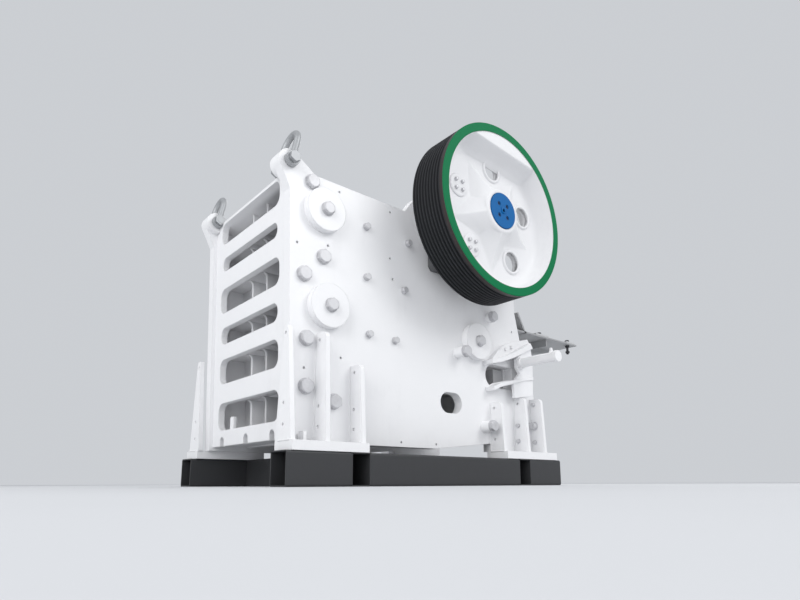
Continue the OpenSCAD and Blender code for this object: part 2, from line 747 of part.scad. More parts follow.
// Half section of a flywheel as radius and distance from its back, with a dished web
function wheel_section(grooved) = let (
        w = rim_w, top = wheel_r - groove_depth, g = groove_pitch, band = wheel_r - rim_t,
        web = w - web_depth, back = web - web_t, bore = shaft_dia / 2, cover = hub_cover_r + 0.3)
    concat(
        [[wheel_r, 0]],
        [for (i = [0:grooved ? grooves - 1 : -1], k = [[0, 0], [0.22, 1], [0.42, 1], [0.64, 0]])
            [k[1] == 0 ? wheel_r : top, 8 + (i + k[0]) * g]],
        [[wheel_r, w], [band, w], [band - 6, w - 22], [band - 16, w - 55], [band - 34, web + 18],
         [band - 58, web + 5], [band - 84, web], [290, web], [235, web + 10], [200, web + 30],
         [178, w - 46], [166, w - 36], [cover, w - 34], [cover, w - cover_depth],
         [bore, w - cover_depth], [bore, 20], [185, 20], [195, back - 20], [230, back],
         [band - 90, back], [band - 40, back - 20], [band - 10, 14], [band, 0]]);

module flywheel(side, grooved) {
    web_x = wheel_face_x - web_depth;
    back_x = wheel_face_x - rim_w;
    section = wheel_section(grooved);
    color(dark) both(side) difference() {
        union() {
            translate([back_x, front_y + shaft_d, shaft_z]) rotate([0, 90, 0])
                rotate_extrude($fn = 180) polygon(section);
            // Five ribs that run down from the hub like a star
            translate([web_x - 2, front_y + shaft_d, shaft_z]) rotate([90, 0, 90])
                linear_extrude(62, scale = 0.4) polygon([for (i = [0:9])
                    let (a = 52 + 36 * i, r = i % 2 == 0 ? star_r : 0.46 * star_r) r * [cos(a), sin(a)]]);
            // Lips of the holes, and two pads with four bolts each
            for (a = hole_angles)
                bar(web_x - 10, 24, web_hole + 22, wheel_at(a)[0], wheel_at(a)[1]);
            for (a = pad_angles) {
                bar(web_x - 10, 20, web_hole + 8, wheel_at(a)[0], wheel_at(a)[1]);
                for (b = [45:90:315])
                    bar(web_x, 22, 13, wheel_at(a)[0] + 48 * cos(b), wheel_at(a)[1] + 48 * sin(b), 32);
            }
            // Counterweight segment
            intersection() {
                bar(web_x - 12, web_depth + 12, wheel_r - rim_t - 2, shaft_d, shaft_z, 180);
                translate([0, front_y + shaft_d, shaft_z]) rotate([-4.2, 0, 0]) rotate([90, 0, 0])
                    linear_extrude(2 * wheel_r, center = true) polygon([
                        [web_x - 12, counterweight_r - 70], [web_x + 5, counterweight_r - 70],
                        [web_x + 16, counterweight_r - 42], [web_x + 44, counterweight_r - 16],
                        [wheel_face_x - 6, counterweight_r], [wheel_face_x - 6, wheel_r],
                        [web_x - 12, wheel_r]]);
            }
        }
        bar(back_x - 1, rim_w - cover_depth + 1.01, shaft_dia / 2, shaft_d, shaft_z);
        // Recess of the hub cover
        bar(wheel_face_x - cover_depth, cover_depth + 1, hub_cover_r + 0.3, shaft_d, shaft_z);
        for (a = hole_angles)
            bar(back_x, rim_w, web_hole, wheel_at(a)[0], wheel_at(a)[1]);
    }
}

module hub_cover(side) {
    face = wheel_face_x - cover_depth + hub_cover_t;
    color("#1f5fa8") both(side) difference() {
        bar(wheel_face_x - cover_depth, hub_cover_t, hub_cover_r, shaft_d, shaft_z);
        for (a = [45:90:315])
            bar(face - 12, 13, 17, shaft_d + 66 * cos(a), shaft_z + 66 * sin(a), 32);
    }
}

module shackle(side) {
    arm = shackle_half - shackle_bar / 2;
    color(steel) translate([side * lug_x, front_y + lug_d, lug_z]) rotate([-shackle_lean, 0, 0])
        difference() {
            union() {
                for (s = [-1, 1]) {
                    translate([s * arm - shackle_bar / 2, 0, 0]) rotate([0, 90, 0])
                        cylinder(h = shackle_bar, r = shackle_eye, $fn = 64);
                    translate([s * arm, 0, 0])
                        cylinder(h = shackle_reach - arm, r = shackle_bar / 2, $fn = 48);
                }
                translate([0, 0, shackle_reach - arm]) rotate([90, 0, 0])
                    rotate_extrude(angle = 180, $fn = 96) translate([arm, 0])
                        circle(r = shackle_bar / 2, $fn = 48);
            }
            translate([-200, 0, 0]) rotate([0, 90, 0])
                cylinder(h = 400, r = shackle_pin / 2 + 0.2, $fn = 64);
        }
}

module shackle_pin_set(side) {
    color(steel) both(side) {
        bar(lug_x - shackle_half - pin_end, 2 * shackle_half + pin_end + 2, shackle_pin / 2,
            lug_d, lug_z, 64);
        bar(lug_x + shackle_half + 1, 26, shackle_pin * 0.78, lug_d, lug_z, 6);
        bar(lug_x - shackle_half - pin_end + 2, pin_end - 4, shackle_pin * 0.85, lug_d, lug_z, 6);
    }
}

rail(1);  // rail_right
rail(-1);  // rail_left
cross_tube(cross_front_d);  // cross_tube_front
cross_tube(cross_rear_d);  // cross_tube_rear
side_plate(1);  // side_plate_right
side_plate(-1);  // side_plate_left
front_wall();
rear_wall();
foot(1, front_foot_d, front_foot_l, front_gussets);  // front_foot_right
foot(-1, front_foot_d, front_foot_l, front_gussets);  // front_foot_left
foot(1, rear_foot_d, rear_foot_l, rear_gussets);  // rear_foot_right
foot(-1, rear_foot_d, rear_foot_l, rear_gussets);  // rear_foot_left
cover_discs(1);  // cover_discs_right
cover_discs(-1);  // cover_discs_left
frame_bolts(1);  // frame_bolts_right
frame_bolts(-1);  // frame_bolts_left
cheek_plates(1);  // cheek_plates_right
cheek_plates(-1);  // cheek_plates_left
cheek_bolt_set(1);  // cheek_bolts_right
cheek_bolt_set(-1);  // cheek_bolts_left
fixed_jaw_plate();
swing_jaw();
swing_jaw_plate();
toggle_plate();
adjusting_wedge();
cylinder_bracket(1);  // cylinder_bracket_right
cylinder_bracket(-1);  // cylinder_bracket_left
adjusting_cylinder(1);  // adjusting_cylinder_right
adjusting_cylinder(-1);  // adjusting_cylinder_left
tension_rod();
return_spring();
motor_bracket();
bearing_housing(1);  // bearing_housing_right
bearing_housing(-1);  // bearing_housing_left
eccentric_shaft();
flywheel(1, true);  // flywheel_right
flywheel(-1, false);  // flywheel_left
hub_cover(1);  // hub_cover_right
hub_cover(-1);  // hub_cover_left
shackle(1);  // shackle_right
shackle(-1);  // shackle_left
shackle_pin_set(1);  // shackle_pin_right
shackle_pin_set(-1);  // shackle_pin_left
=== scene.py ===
"""Looks of the jaw crusher: finishes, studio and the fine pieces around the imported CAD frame."""

import logging
import math
from collections.abc import Callable, Iterable
from dataclasses import dataclass, field
from enum import Enum

import bmesh
import bpy
from mathutils import Matrix, Vector

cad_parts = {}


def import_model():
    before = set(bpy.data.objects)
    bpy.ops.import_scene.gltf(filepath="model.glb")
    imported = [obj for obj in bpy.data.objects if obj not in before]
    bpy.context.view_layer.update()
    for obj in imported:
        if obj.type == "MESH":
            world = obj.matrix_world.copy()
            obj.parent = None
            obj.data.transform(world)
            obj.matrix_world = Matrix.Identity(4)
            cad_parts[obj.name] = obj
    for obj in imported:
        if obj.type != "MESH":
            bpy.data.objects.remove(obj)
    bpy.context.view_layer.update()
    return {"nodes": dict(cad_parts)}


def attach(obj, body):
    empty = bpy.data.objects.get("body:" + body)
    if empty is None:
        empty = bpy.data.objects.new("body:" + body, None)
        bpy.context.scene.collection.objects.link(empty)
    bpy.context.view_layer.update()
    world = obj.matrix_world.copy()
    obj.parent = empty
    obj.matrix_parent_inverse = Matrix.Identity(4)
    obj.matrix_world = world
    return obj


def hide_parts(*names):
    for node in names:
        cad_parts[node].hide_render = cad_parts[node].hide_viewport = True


LOG = logging.getLogger("crusher")

Point = tuple[float, float]
Triple = tuple[float, float, float]
Colour = Triple

# Distances along the machine are given behind the front end of the skid, which lies at this Y
FRONT_Y = -1.714
# Outer faces of the side plates, top of the feet's base plates, and the shaft's axis
BODY_X = 0.653
FOOT_Z = 0.270
SHAFT = (1.633 + FRONT_Y, 2.077)
# Outer face of the flywheels, and the inner radius of their rims
WHEEL_FACE_X = 1.155
BAND_R = 0.612
# The front wall's face lies at this distance at the feet's top, and leans forward by these degrees
WALL_FACE_D = 0.136
WALL_LEAN = 1.86

OUT = Vector((1.0, 0.0, 0.0))
AHEAD = Vector((0.0, -1.0, 0.0))
BEHIND = Vector((0.0, 1.0, 0.0))
UP = Vector((0.0, 0.0, 1.0))
OTHER_SIDE = (-1, 1, 1)
# Length of the tools that cut through a wall or a web
THROUGH = 0.3
# How far a piece or a tool reaches past the face that it stands on
ROOTED = 0.02
# Degrees between the points of a round corner
CORNER_STEP = 9


def along(distance: float) -> float:
    """The Y of a place that lies this far behind the front end of the skid."""
    return distance + FRONT_Y


def oblong(left: float, right: float, low: float, high: float) -> tuple[Point, ...]:
    """The corners of a rectangle."""
    return (left, low), (right, low), (right, high), (left, high)


def arc(middle: Point, radius: float, start: int, end: int, step: int = 15) -> list[Point]:
    """Points on an arc.

    Args:
        middle: Its centre.
        radius: Its radius.
        start: Angle of its first point, in degrees from the first axis towards the second.
        end: Angle of its last point.
        step: Angle between two points.

    Returns:
        The points in order.
    """
    turns = [math.radians(turn) for turn in range(start, end + 1, step)]
    return [(middle[0] + radius * math.cos(turn), middle[1] + radius * math.sin(turn)) for turn in turns]


def rounded(left: float, right: float, low: float, high: float, radius: float) -> list[Point]:
    """A rectangle with round corners.

    Args:
        left: Its left edge.
        right: Its right edge.
        low: Its lower edge.
        high: Its upper edge.
        radius: Radius of the corners.

    Returns:
        Its corners in order.
    """
    middles = ((right - radius, high - radius), (left + radius, high - radius),
               (left + radius, low + radius), (right - radius, low + radius))
    return [point for quarter, middle in enumerate(middles)
            for point in arc(middle, radius, 90 * quarter, 90 * quarter + 90, CORNER_STEP)]


def cylinder(radius: float, start: float, end: float) -> tuple[Point, ...]:
    """The profile of a plain cylinder, as pairs of a radius and a place along its axis."""
    return (0, start), (radius, start), (radius, end), (0, end)


def shaded(colour: Colour, factor: float, lift: float = 0.0) -> Colour:
    """A colour times a factor, with the same lift on each channel."""
    return tuple(min(1.0, factor * channel + lift) for channel in colour)


class Wire:
    """A shader socket on which Python's arithmetic adds Math nodes."""

    def __init__(self, graph: "Graph", socket: bpy.types.NodeSocket) -> None:
        """Keeps the graph and the socket that later nodes read."""
        self.graph = graph
        self.socket = socket

    def _math(self, operation: str, first: "Wire | float", second: "Wire | float") -> "Wire":
        """Adds one Math node.

        Args:
            operation: Blender's name of the operation.
            first: Left operand.
            second: Right operand.

        Returns:
            The node's result.
        """
        return self.graph.node("ShaderNodeMath", {"operation": operation}, {0: first, 1: second})

    def __add__(self, other: "Wire | float") -> "Wire":
        """Sum of both."""
        return self._math("ADD", self, other)

    __radd__ = __add__

    def __sub__(self, other: "Wire | float") -> "Wire":
        """This less the other."""
        return self._math("SUBTRACT", self, other)

    def __rsub__(self, other: float) -> "Wire":
        """The other less this."""
        return self._math("SUBTRACT", other, self)

    def __mul__(self, other: "Wire | float") -> "Wire":
        """Product of both."""
        return self._math("MULTIPLY", self, other)

    __rmul__ = __mul__

    def __pow__(self, other: float) -> "Wire":
        """This raised to a power."""
        return self._math("POWER", self, other)

    def above(self, edge: float, soft: float) -> "Wire":
        """A mask that rises from 0 to 1 across an edge.

        Args:
            edge: Value at which the mask is half way.
            soft: Width of the rise.

        Returns:
            The mask.
        """
        return self.graph.node("ShaderNodeMapRange", {"interpolation_type": "SMOOTHSTEP"},
                               {0: self, 1: edge - soft / 2, 2: edge + soft / 2, 3: 0.0, 4: 1.0})


@dataclass(frozen=True)
class Noise:
    """A noise: waves per metre, octaves, strength of the finer ones, and factors along X, Y and Z."""

    scale: float
    detail: float = 3.0
    rough: float = 0.55
    stretch: Triple = (1.0, 1.0, 1.0)


CLOUD = Noise(1.7, 5.0, 0.6)
SPECK = Noise(38.0, 4.0, 0.6)
STREAK = Noise(9.0, 4.0, 0.6, (1.0, 1.0, 0.12))
PEEL = Noise(420.0, 1.0)
LUMPS = Noise(26.0)
BLOT = Noise(11.0, 5.0, 0.65)
SCRATCH = Noise(700.0, 2.0)
FLOOR_CLOUD = Noise(0.8, 4.0)


class Graph:
    """The node tree of one material, with one Principled shader."""

    def __init__(self, name: str) -> None:
        """Makes an empty material with a Principled shader on its output."""
        self.material = bpy.data.materials.new(name)
        self.material.use_nodes = True
        self.tree = self.material.node_tree
        self.tree.nodes.clear()
        self.shader = self.tree.nodes.new("ShaderNodeBsdfPrincipled")
        output = self.tree.nodes.new("ShaderNodeOutputMaterial")
        self.tree.links.new(self.shader.outputs[0], output.inputs[0])
        self.place = self.node("ShaderNodeTexCoord", {}, {}, "Object")

    def node(self, kind: str, settings: dict, inputs: dict, output: str | int = 0) -> Wire:
        """Adds a node.

        Args:
            kind: Blender's name of the node's type.
            settings: Values of the node itself, set before its sockets.
            inputs: Values or links of its sockets, by name or number.
            output: The socket that is returned, by name or number.

        Returns:
            The chosen output.
        """
        made = self.tree.nodes.new(kind)
        for name, value in settings.items():
            setattr(made, name, value)
        for key, value in inputs.items():
            self.feed(made.inputs[key], value)
        return Wire(self, made.outputs[output])

    def feed(self, socket: bpy.types.NodeSocket, value: "Wire | float | tuple") -> None:
        """Links a wire to a socket, or sets a plain value on it."""
        if isinstance(value, Wire):
            self.tree.links.new(value.socket, socket)
        elif isinstance(value, tuple) and len(value) == 3 and socket.type == "RGBA":
            socket.default_value = (*value, 1.0)
        else:
            socket.default_value = value

    def noise(self, kind: Noise) -> Wire:
        """A noise on Object coordinates, about 0.5 on average."""
        place = self.node("ShaderNodeMapping", {}, {"Vector": self.place, "Scale": kind.stretch})
        return self.node("ShaderNodeTexNoise", {}, {"Vector": place, "Scale": kind.scale,
                                                    "Detail": kind.detail, "Roughness": kind.rough})

    def blend(self, mask: "Wire | float", first: "Wire | Colour", second: "Wire | Colour") -> Wire:
        """Mixes two colours.

        Args:
            mask: 0 for the first and 1 for the second.
            first: Colour where the mask is 0.
            second: Colour where the mask is 1.

        Returns:
            The mixed colour.
        """
        made = self.tree.nodes.new("ShaderNodeMix")
        made.data_type = "RGBA"
        # A Mix node has a set of sockets for each type of data, and these are its colour ones
        for number, value in ((0, mask), (6, first), (7, second)):
            self.feed(made.inputs[number], value)
        return Wire(self, made.outputs[2])

    def axis(self, name: str) -> Wire:
        """One of the X, Y and Z places on the object, in metres."""
        return self.node("ShaderNodeSeparateXYZ", {}, {0: self.place}, name)

    def side(self) -> Wire:
        """Distance from the middle plane."""
        return self.node("ShaderNodeMath", {"operation": "ABSOLUTE"}, {0: self.axis("X")})

    def radius(self, y: float, z: float) -> Wire:
        """Distance from a line along X through the given Y and Z."""
        across = self.axis("Y") - y
        rise = self.axis("Z") - z
        return (across * across + rise * rise) ** 0.5

    def set(self, **values: "Wire | float | Colour") -> None:
        """Feeds the Principled shader, with underscores for the spaces in its sockets' names."""
        for name, value in values.items():
            self.feed(self.shader.inputs[name.replace("_", " ")], value)

    def relief(self, *layers: tuple["Wire", float], edge: float) -> None:
        """Rounds the edges and lays bumps over them.

        Args:
            layers: Pairs of a height from 0 to 1 and its depth in metres.
            edge: Radius of the edges in metres.
        """
        normal = self.node("ShaderNodeBevel", {"samples": 4}, {"Radius": edge})
        for height, depth in layers:
            normal = self.node("ShaderNodeBump", {}, {"Height": height, "Distance": depth,
                                                      "Strength": 1.0, "Normal": normal})
        self.set(Normal=normal)


@dataclass(frozen=True)
class Overlay:
    """A part of a piece that shows another colour than the rest of it: another finish, or painted shade."""

    mask: Callable[[Graph], Wire]
    colour: Colour
    rough: float = 0.4
    metal: float = 0.0


# How far the green ring and the land reach in from the wheels' face, and where the land begins
RING_DEPTH = 0.004
LAND_DEPTH = 0.034
LAND_R = 0.66
# How far the cover discs stand out from the side plates
DISC_OUT = 0.0565
# Radius of the spacer sleeves, and the distance, height and length of each
SLEEVE_R = 0.075
SLEEVES = ((1.585, 1.032, 0.090), (1.981, 1.399, 0.034), (1.880, 0.466, 0.084))
# Depth in the front wall from which painted shade darkens its inner faces, and the X from which that painted
# shade deepens
SHADE_DEPTH = 0.06
SHADE_X = 0.05


def on_green_ring(graph: Graph) -> Wire:
    """The painted front ring of a flywheel's rim."""
    return (graph.side().above(WHEEL_FACE_X - RING_DEPTH, 0.002)
            * graph.radius(*SHAFT).above(BAND_R - 0.0002, 0.0015))


def on_rim(graph: Graph) -> Wire:
    """The bare outer side and back of a flywheel's rim."""
    return graph.radius(*SHAFT).above(BAND_R + 0.0005, 0.001) * (1 - on_green_ring(graph))


def on_land(graph: Graph) -> Wire:
    """The land between the last belt groove and the front ring."""
    side = graph.side()
    return (side.above(WHEEL_FACE_X - LAND_DEPTH, 0.003) * (1 - side.above(WHEEL_FACE_X - RING_DEPTH, 0.002))
            * graph.radius(*SHAFT).above(LAND_R, 0.004))


def on_disc_bolt(graph: Graph) -> Wire:
    """The bolt heads on the cover discs."""
    return graph.side().above(BODY_X + DISC_OUT, 0.001)


def on_sleeve(graph: Graph) -> Wire:
    """The painted spacer sleeves under three of the frame bolts."""
    total: Wire | float = 0.0
    for distance, height, length in SLEEVES:
        near = 1 - graph.radius(along(distance), height).above(SLEEVE_R, 0.002)
        total = near * (1 - graph.side().above(BODY_X + length, 0.001)) + total
    return total


def recess_shade(graph: Graph) -> Wire:
    """The inner faces of the front wall's casting, whose colour is darkened as painted shade in the
    recesses.
    """
    upright = graph.axis("Y") + (graph.axis("Z") - FOOT_Z) * math.tan(math.radians(WALL_LEAN))
    return upright.above(along(WALL_FACE_D) + SHADE_DEPTH, 0.06)


def deep_recess_shade(graph: Graph) -> Wire:
    """The part of those faces that lies towards the right side, where the painted shade is darkest."""
    return recess_shade(graph) * graph.axis("X").above(SHADE_X, 0.5)


@dataclass(frozen=True)
class Enamel:
    """Sprayed machine enamel over cast or rolled steel."""

    name: str
    colour: Colour
    gloss: float = 0.35
    grime: float = 0.25
    cast: float = 0.0006
    edge: float = 0.006
    specular: float = 0.4
    overlays: tuple[Overlay, ...] = ()

    def make(self) -> bpy.types.Material:
        """Builds the material."""
        graph = Graph(self.name)
        cloud, speck, streak, peel, lumps = map(graph.noise, (CLOUD, SPECK, STREAK, PEEL, LUMPS))
        low = 1 - graph.axis("Z").above(0.42, 0.5)
        dirt = (cloud.above(0.62, 0.3) * 0.4 + (streak * cloud).above(0.36, 0.16) * 0.4
                + low * cloud * 0.35) * self.grime
        worn = speck.above(0.76, 0.05) * (0.4 * self.grime)
        tint = graph.blend(dirt, self.colour, shaded(self.colour, 0.68, 0.012))
        tint = graph.blend(worn, tint, shaded(self.colour, 0.45, 0.03))
        rough: Wire = self.gloss + 0.16 * dirt + 0.06 * lumps
        metal: Wire | float = 0.0
        for layer in self.overlays:
            mask = layer.mask(graph)
            tint = graph.blend(mask, tint, graph.blend(cloud, layer.colour, shaded(layer.colour, 1.12)))
            rough = rough * (1 - mask) + mask * (layer.rough + 0.1 * lumps)
            metal = mask * layer.metal + metal * (1 - mask)
        graph.set(Base_Color=tint, Roughness=rough, Metallic=metal, Specular_IOR_Level=self.specular)
        graph.relief((lumps, self.cast), (peel, 0.00012), edge=self.edge)
        return graph.material


@dataclass(frozen=True)
class BareMetal:
    """Bare, plated or galvanised steel."""

    name: str
    colour: Colour
    rough: float = 0.42
    metal: float = 1.0
    spangle: float = 60.0
    stain: Colour = (0.16, 0.13, 0.1)
    stained: float = 0.2
    edge: float = 0.003
    overlays: tuple[Overlay, ...] = ()

    def make(self) -> bpy.types.Material:
        """Builds the material."""
        graph = Graph(self.name)
        grain, blot, scratch = map(graph.noise, (Noise(self.spangle, 2.0), BLOT, SCRATCH))
        rust = blot.above(0.62, 0.2) * self.stained
        steel = graph.blend(grain, self.colour, shaded(self.colour, 1.18))
        tint = graph.blend(rust, steel, self.stain)
        metal: Wire = self.metal - rust * self.metal
        rough: Wire = self.rough + 0.12 * grain + 0.25 * rust
        for layer in self.overlays:
            mask = layer.mask(graph)
            tint = graph.blend(mask, tint, layer.colour)
            rough = rough * (1 - mask) + mask * layer.rough
            metal = metal * (1 - mask) + mask * layer.metal
        graph.set(Base_Color=tint, Metallic=metal, Roughness=rough)
        graph.relief((blot, 0.0006), (scratch, 0.00008), edge=self.edge)
        return graph.material


PAINT: Colour = (0.86, 0.86, 0.87)
BOLT_GREY: Colour = (0.56, 0.56, 0.575)


class Finish(Enum):
    """Every finish of the machine, by the piece that shows it."""

    WHITE = Enamel("white_enamel", PAINT)
    # The wall's two overlays are painted shade on its inner faces, darker towards the right.
    WALL = Enamel("wall_enamel", PAINT, edge=0.010, overlays=(
        Overlay(recess_shade, (0.74, 0.74, 0.75), 0.5), Overlay(deep_recess_shade, (0.42, 0.42, 0.43), 0.5)))
    DISC = Enamel("disc_enamel", PAINT, edge=0.010, overlays=(Overlay(on_disc_bolt, BOLT_GREY, 0.42, 0.35),))
    WHEEL = Enamel("wheel_enamel", (0.78, 0.78, 0.79), grime=0.15, edge=0.008, specular=0.12, overlays=(
        Overlay(on_rim, (0.030, 0.031, 0.034), 0.52, 0.1),
        Overlay(on_land, (0.050, 0.042, 0.041), 0.38, 0.3),
        Overlay(on_green_ring, (0.0, 0.155, 0.055), 0.5)))
    SKID = Enamel("skid_black", (0.040, 0.041, 0.044), gloss=0.42, grime=0.5, cast=0.0003, edge=0.004)
    GREY = Enamel("grey_primer", (0.38, 0.385, 0.39), gloss=0.5, grime=0.5, edge=0.003)
    SLIDE = Enamel("slide_grey", (0.55, 0.555, 0.56), gloss=0.5, grime=0.5, edge=0.003)
    HOUSING = Enamel("housing_grey", (0.105, 0.107, 0.112), gloss=0.45, grime=0.4)
    JAW = Enamel("jaw_grey", (0.50, 0.50, 0.51), gloss=0.5, grime=0.4)
    BLUE = Enamel("cover_blue", (0.0, 0.112, 0.34), gloss=0.4, grime=0.1, specular=0.15)
    COVER_SCREW = Enamel("cover_screw_blue", (0.001, 0.028, 0.10), gloss=0.4, grime=0.1, edge=0.001)
    SPRING = Enamel("spring_red", (0.36, 0.03, 0.02), gloss=0.35)
    BOLTS = BareMetal("frame_bolt_zinc", BOLT_GREY, rough=0.42, metal=0.35, stained=0.12, overlays=(
        Overlay(on_sleeve, PAINT, 0.36, 0.0),))
    ZINC = BareMetal("zinc_bolts", BOLT_GREY, rough=0.42, metal=0.4, stained=0.12)
    DARK = BareMetal("dark_bolts", (0.05, 0.05, 0.055), rough=0.45, metal=0.6)
    SHACKLE = BareMetal("galvanised", (0.40, 0.41, 0.42), rough=0.48, spangle=90.0, metal=0.7, edge=0.004)
    SHAFT = BareMetal("turned_steel", (0.45, 0.45, 0.46), rough=0.3, stained=0.1)
    MANGANESE = BareMetal("manganese_steel", (0.13, 0.13, 0.135), rough=0.5, spangle=20.0, stained=0.5)


MATERIALS: dict[Finish, bpy.types.Material] = {}


def finish_of(kind: Finish) -> bpy.types.Material:
    """The material of a finish, which is built when it is first asked for."""
    if kind not in MATERIALS:
        MATERIALS[kind] = kind.value.make()
    return MATERIALS[kind]


# A washer's radius and thickness and a head's height and bevel, per width over the flats
WASHER_R = 0.62
WASHER_T = 0.1
HEAD_H = 0.62
HEAD_BEVEL = 0.06
# A weld bead's sides and the length of its steps, and the height, pace and start of its ripples
BEAD_SIDES = 8
BEAD_STEP = 0.008
RIPPLES = ((0.16, 390.0, 0.0), (0.07, 61.0, 1.7))


class Piece:
    """A new piece of the machine, shaped in place with mesh operators."""

    def __init__(self, name: str) -> None:
        """Starts an empty mesh."""
        self.name = name
        self.shape = bmesh.new()

    def _join(self, part: bmesh.types.BMesh, axis: Vector, origin: Vector) -> None:
        """Adds a shape that was made along Z, turned to an axis and moved to its origin."""
        turn = axis.to_track_quat("Z", "Y").to_matrix().to_4x4()
        bmesh.ops.transform(part, matrix=Matrix.Translation(origin) @ turn, verts=part.verts)
        self._take(part)

    def _take(self, part: bmesh.types.BMesh) -> None:
        """Takes in a shape where it stands, and frees it."""
        loose = bpy.data.meshes.new("part")
        part.to_mesh(loose)
        part.free()
        self.shape.from_mesh(loose)
        bpy.data.meshes.remove(loose)

    def turned(self, profile: Iterable[Point], origin: Vector, axis: Vector, steps: int = 40) -> None:
        """Spins a profile once round an axis.

        Args:
            profile: Pairs of a radius and a place along the axis, closed or with both ends on the axis.
            origin: Where the axis starts.
            axis: Its direction.
            steps: Faces round the axis.
        """
        part = bmesh.new()
        line = [part.verts.new((radius, 0.0, height)) for radius, height in profile]
        edges = [part.edges.new(pair) for pair in zip(line, line[1:])]
        bmesh.ops.spin(part, geom=[*line, *edges], cent=(0, 0, 0), axis=(0, 0, 1),
                       angle=math.tau, steps=steps, use_merge=True, use_duplicate=False)
        bmesh.ops.remove_doubles(part, verts=part.verts, dist=1e-6)
        self._join(part, axis, origin)

    def hexagon(self, across: float, height: float, origin: Vector, axis: Vector,
                turn: float = 0.0) -> None:
        """Stands a bevelled hexagon head or nut on a face.

        Args:
            across: Width over the flats.
            height: Height of the head.
            origin: Middle of its foot.
            axis: Direction in which it stands out.
            turn: Turn about that axis.
        """
        part = bmesh.new()
        radius = across / math.sqrt(3.0)
        bmesh.ops.create_cone(part, cap_ends=True, segments=6, radius1=radius, radius2=radius,
                              depth=height)
        bmesh.ops.translate(part, verts=part.verts, vec=(0, 0, height / 2))
        bmesh.ops.rotate(part, verts=part.verts, cent=(0, 0, 0), matrix=Matrix.Rotation(turn, 3, "Z"))
        top = [edge for edge in part.edges if min(end.co.z for end in edge.verts) > height * 0.99]
        bmesh.ops.bevel(part, geom=top, offset=across * HEAD_BEVEL, affect="EDGES", segments=2,
                        profile=0.5, material=-1)
        self._join(part, axis, origin)

    def bolt(self, across: float, origin: Vector, axis: Vector, turn: float = 0.3) -> None:
        """Stands a washer with a hexagon head on a face.

        Args:
            across: Width over the head's flats.
            origin: Middle of the washer's foot.
            axis: Direction in which the head stands out.
            turn: Turn of the head about that axis.
        """
        wide, thick = across * WASHER_R, across * WASHER_T
        self.turned(((0, -0.001), (wide, -0.001), (wide, thick * 0.7), (wide * 0.96, thick), (0, thick)),
                    origin, axis, 32)
        self.hexagon(across, across * HEAD_H, origin + axis * (thick * 0.9), axis, turn)

    def bead(self, start: Vector, end: Vector, radius: float = 0.007) -> None:
        """Lays a weld bead with ripples between two points."""
        part = bmesh.new()
        span = end - start
        steps = max(4, int(span.length / BEAD_STEP))
        bmesh.ops.create_circle(part, segments=BEAD_SIDES, radius=radius)
        bmesh.ops.spin(part, geom=[*part.verts, *part.edges], cent=(0, 0, 0), axis=(0, 0, 1),
                       dvec=(0, 0, span.length / steps), angle=0.0, steps=steps, use_duplicate=False)
        ends = [edge for edge in part.edges if edge.is_boundary]
        bmesh.ops.holes_fill(part, edges=ends, sides=BEAD_SIDES)
        for vert in part.verts:
            wave = 1.0 + sum(high * math.sin(vert.co.z * pace + first) for high, pace, first in RIPPLES)
            vert.co.x *= wave
            vert.co.y *= wave
        self._join(part, span.normalized(), start)

    def prism(self, outline: Iterable[Triple], reach: Triple) -> None:
        """Draws a flat outline out to a solid.

        Args:
            outline: Its corners in order.
            reach: How far it is drawn out along X, Y and Z.
        """
        part = bmesh.new()
        face = part.faces.new([part.verts.new(corner) for corner in outline])
        grown = bmesh.ops.extrude_face_region(part, geom=[face])["geom"]
        moved = [item for item in grown if isinstance(item, bmesh.types.BMVert)]
        bmesh.ops.translate(part, verts=moved, vec=reach)
        self._take(part)

    def slab(self, outline: Iterable[Point], half: float, middle: float = 0.0) -> None:
        """Gives an outline of distance and height a thickness along X.

        Args:
            outline: Its corners in order, as distance behind the skid's front end and height.
            half: Half of its thickness.
            middle: X of its middle.
        """
        self.prism([(middle - half, along(distance), height) for distance, height in outline],
                   (2 * half, 0, 0))

    def panel(self, outline: Iterable[Point], front: float, back: float) -> None:
        """Gives an outline of X and height a thickness along Y.

        Args:
            outline: Its corners in order.
            front: Distance of its one face behind the skid's front end.
            back: Distance of its other face.
        """
        self.prism([(x, along(front), height) for x, height in outline], (0, back - front, 0))

    def cut(self, tool: "Piece", operation: str = "DIFFERENCE") -> None:
        """Cuts this shape with another one, or keeps what both share.

        Args:
            tool: The other shape, which is used up.
            operation: Name of the boolean operation.
        """
        holders = []
        for piece in (self, tool):
            bmesh.ops.recalc_face_normals(piece.shape, faces=piece.shape.faces)
            mesh = bpy.data.meshes.new("solid")
            piece.shape.to_mesh(mesh)
            piece.shape.free()
            holders.append(bpy.data.objects.new("solid", mesh))
            bpy.context.scene.collection.objects.link(holders[-1])
        change = holders[0].modifiers.new("cut", "BOOLEAN")
        change.operation = operation
        change.solver = "EXACT"
        change.object = holders[1]
        ready = holders[0].evaluated_get(bpy.context.evaluated_depsgraph_get())
        self.shape = bmesh.new()
        self.shape.from_mesh(ready.data)
        for holder in holders:
            mesh = holder.data
            bpy.data.objects.remove(holder)
            bpy.data.meshes.remove(mesh)

    def add(self, other: "Piece") -> None:
        """Adds another piece's shape, which is used up."""
        self._take(other.shape)

    def mirrored(self) -> None:
        """Adds the same shapes on the other side of the middle plane."""
        copy = bmesh.ops.duplicate(self.shape, geom=[*self.shape.verts, *self.shape.edges,
                                                     *self.shape.faces])["geom"]
        verts = [item for item in copy if isinstance(item, bmesh.types.BMVert)]
        bmesh.ops.scale(self.shape, vec=OTHER_SIDE, verts=verts)

    def flipped(self) -> None:
        """Moves the shapes to the other side of the middle plane."""
        bmesh.ops.scale(self.shape, vec=OTHER_SIDE, verts=self.shape.verts)

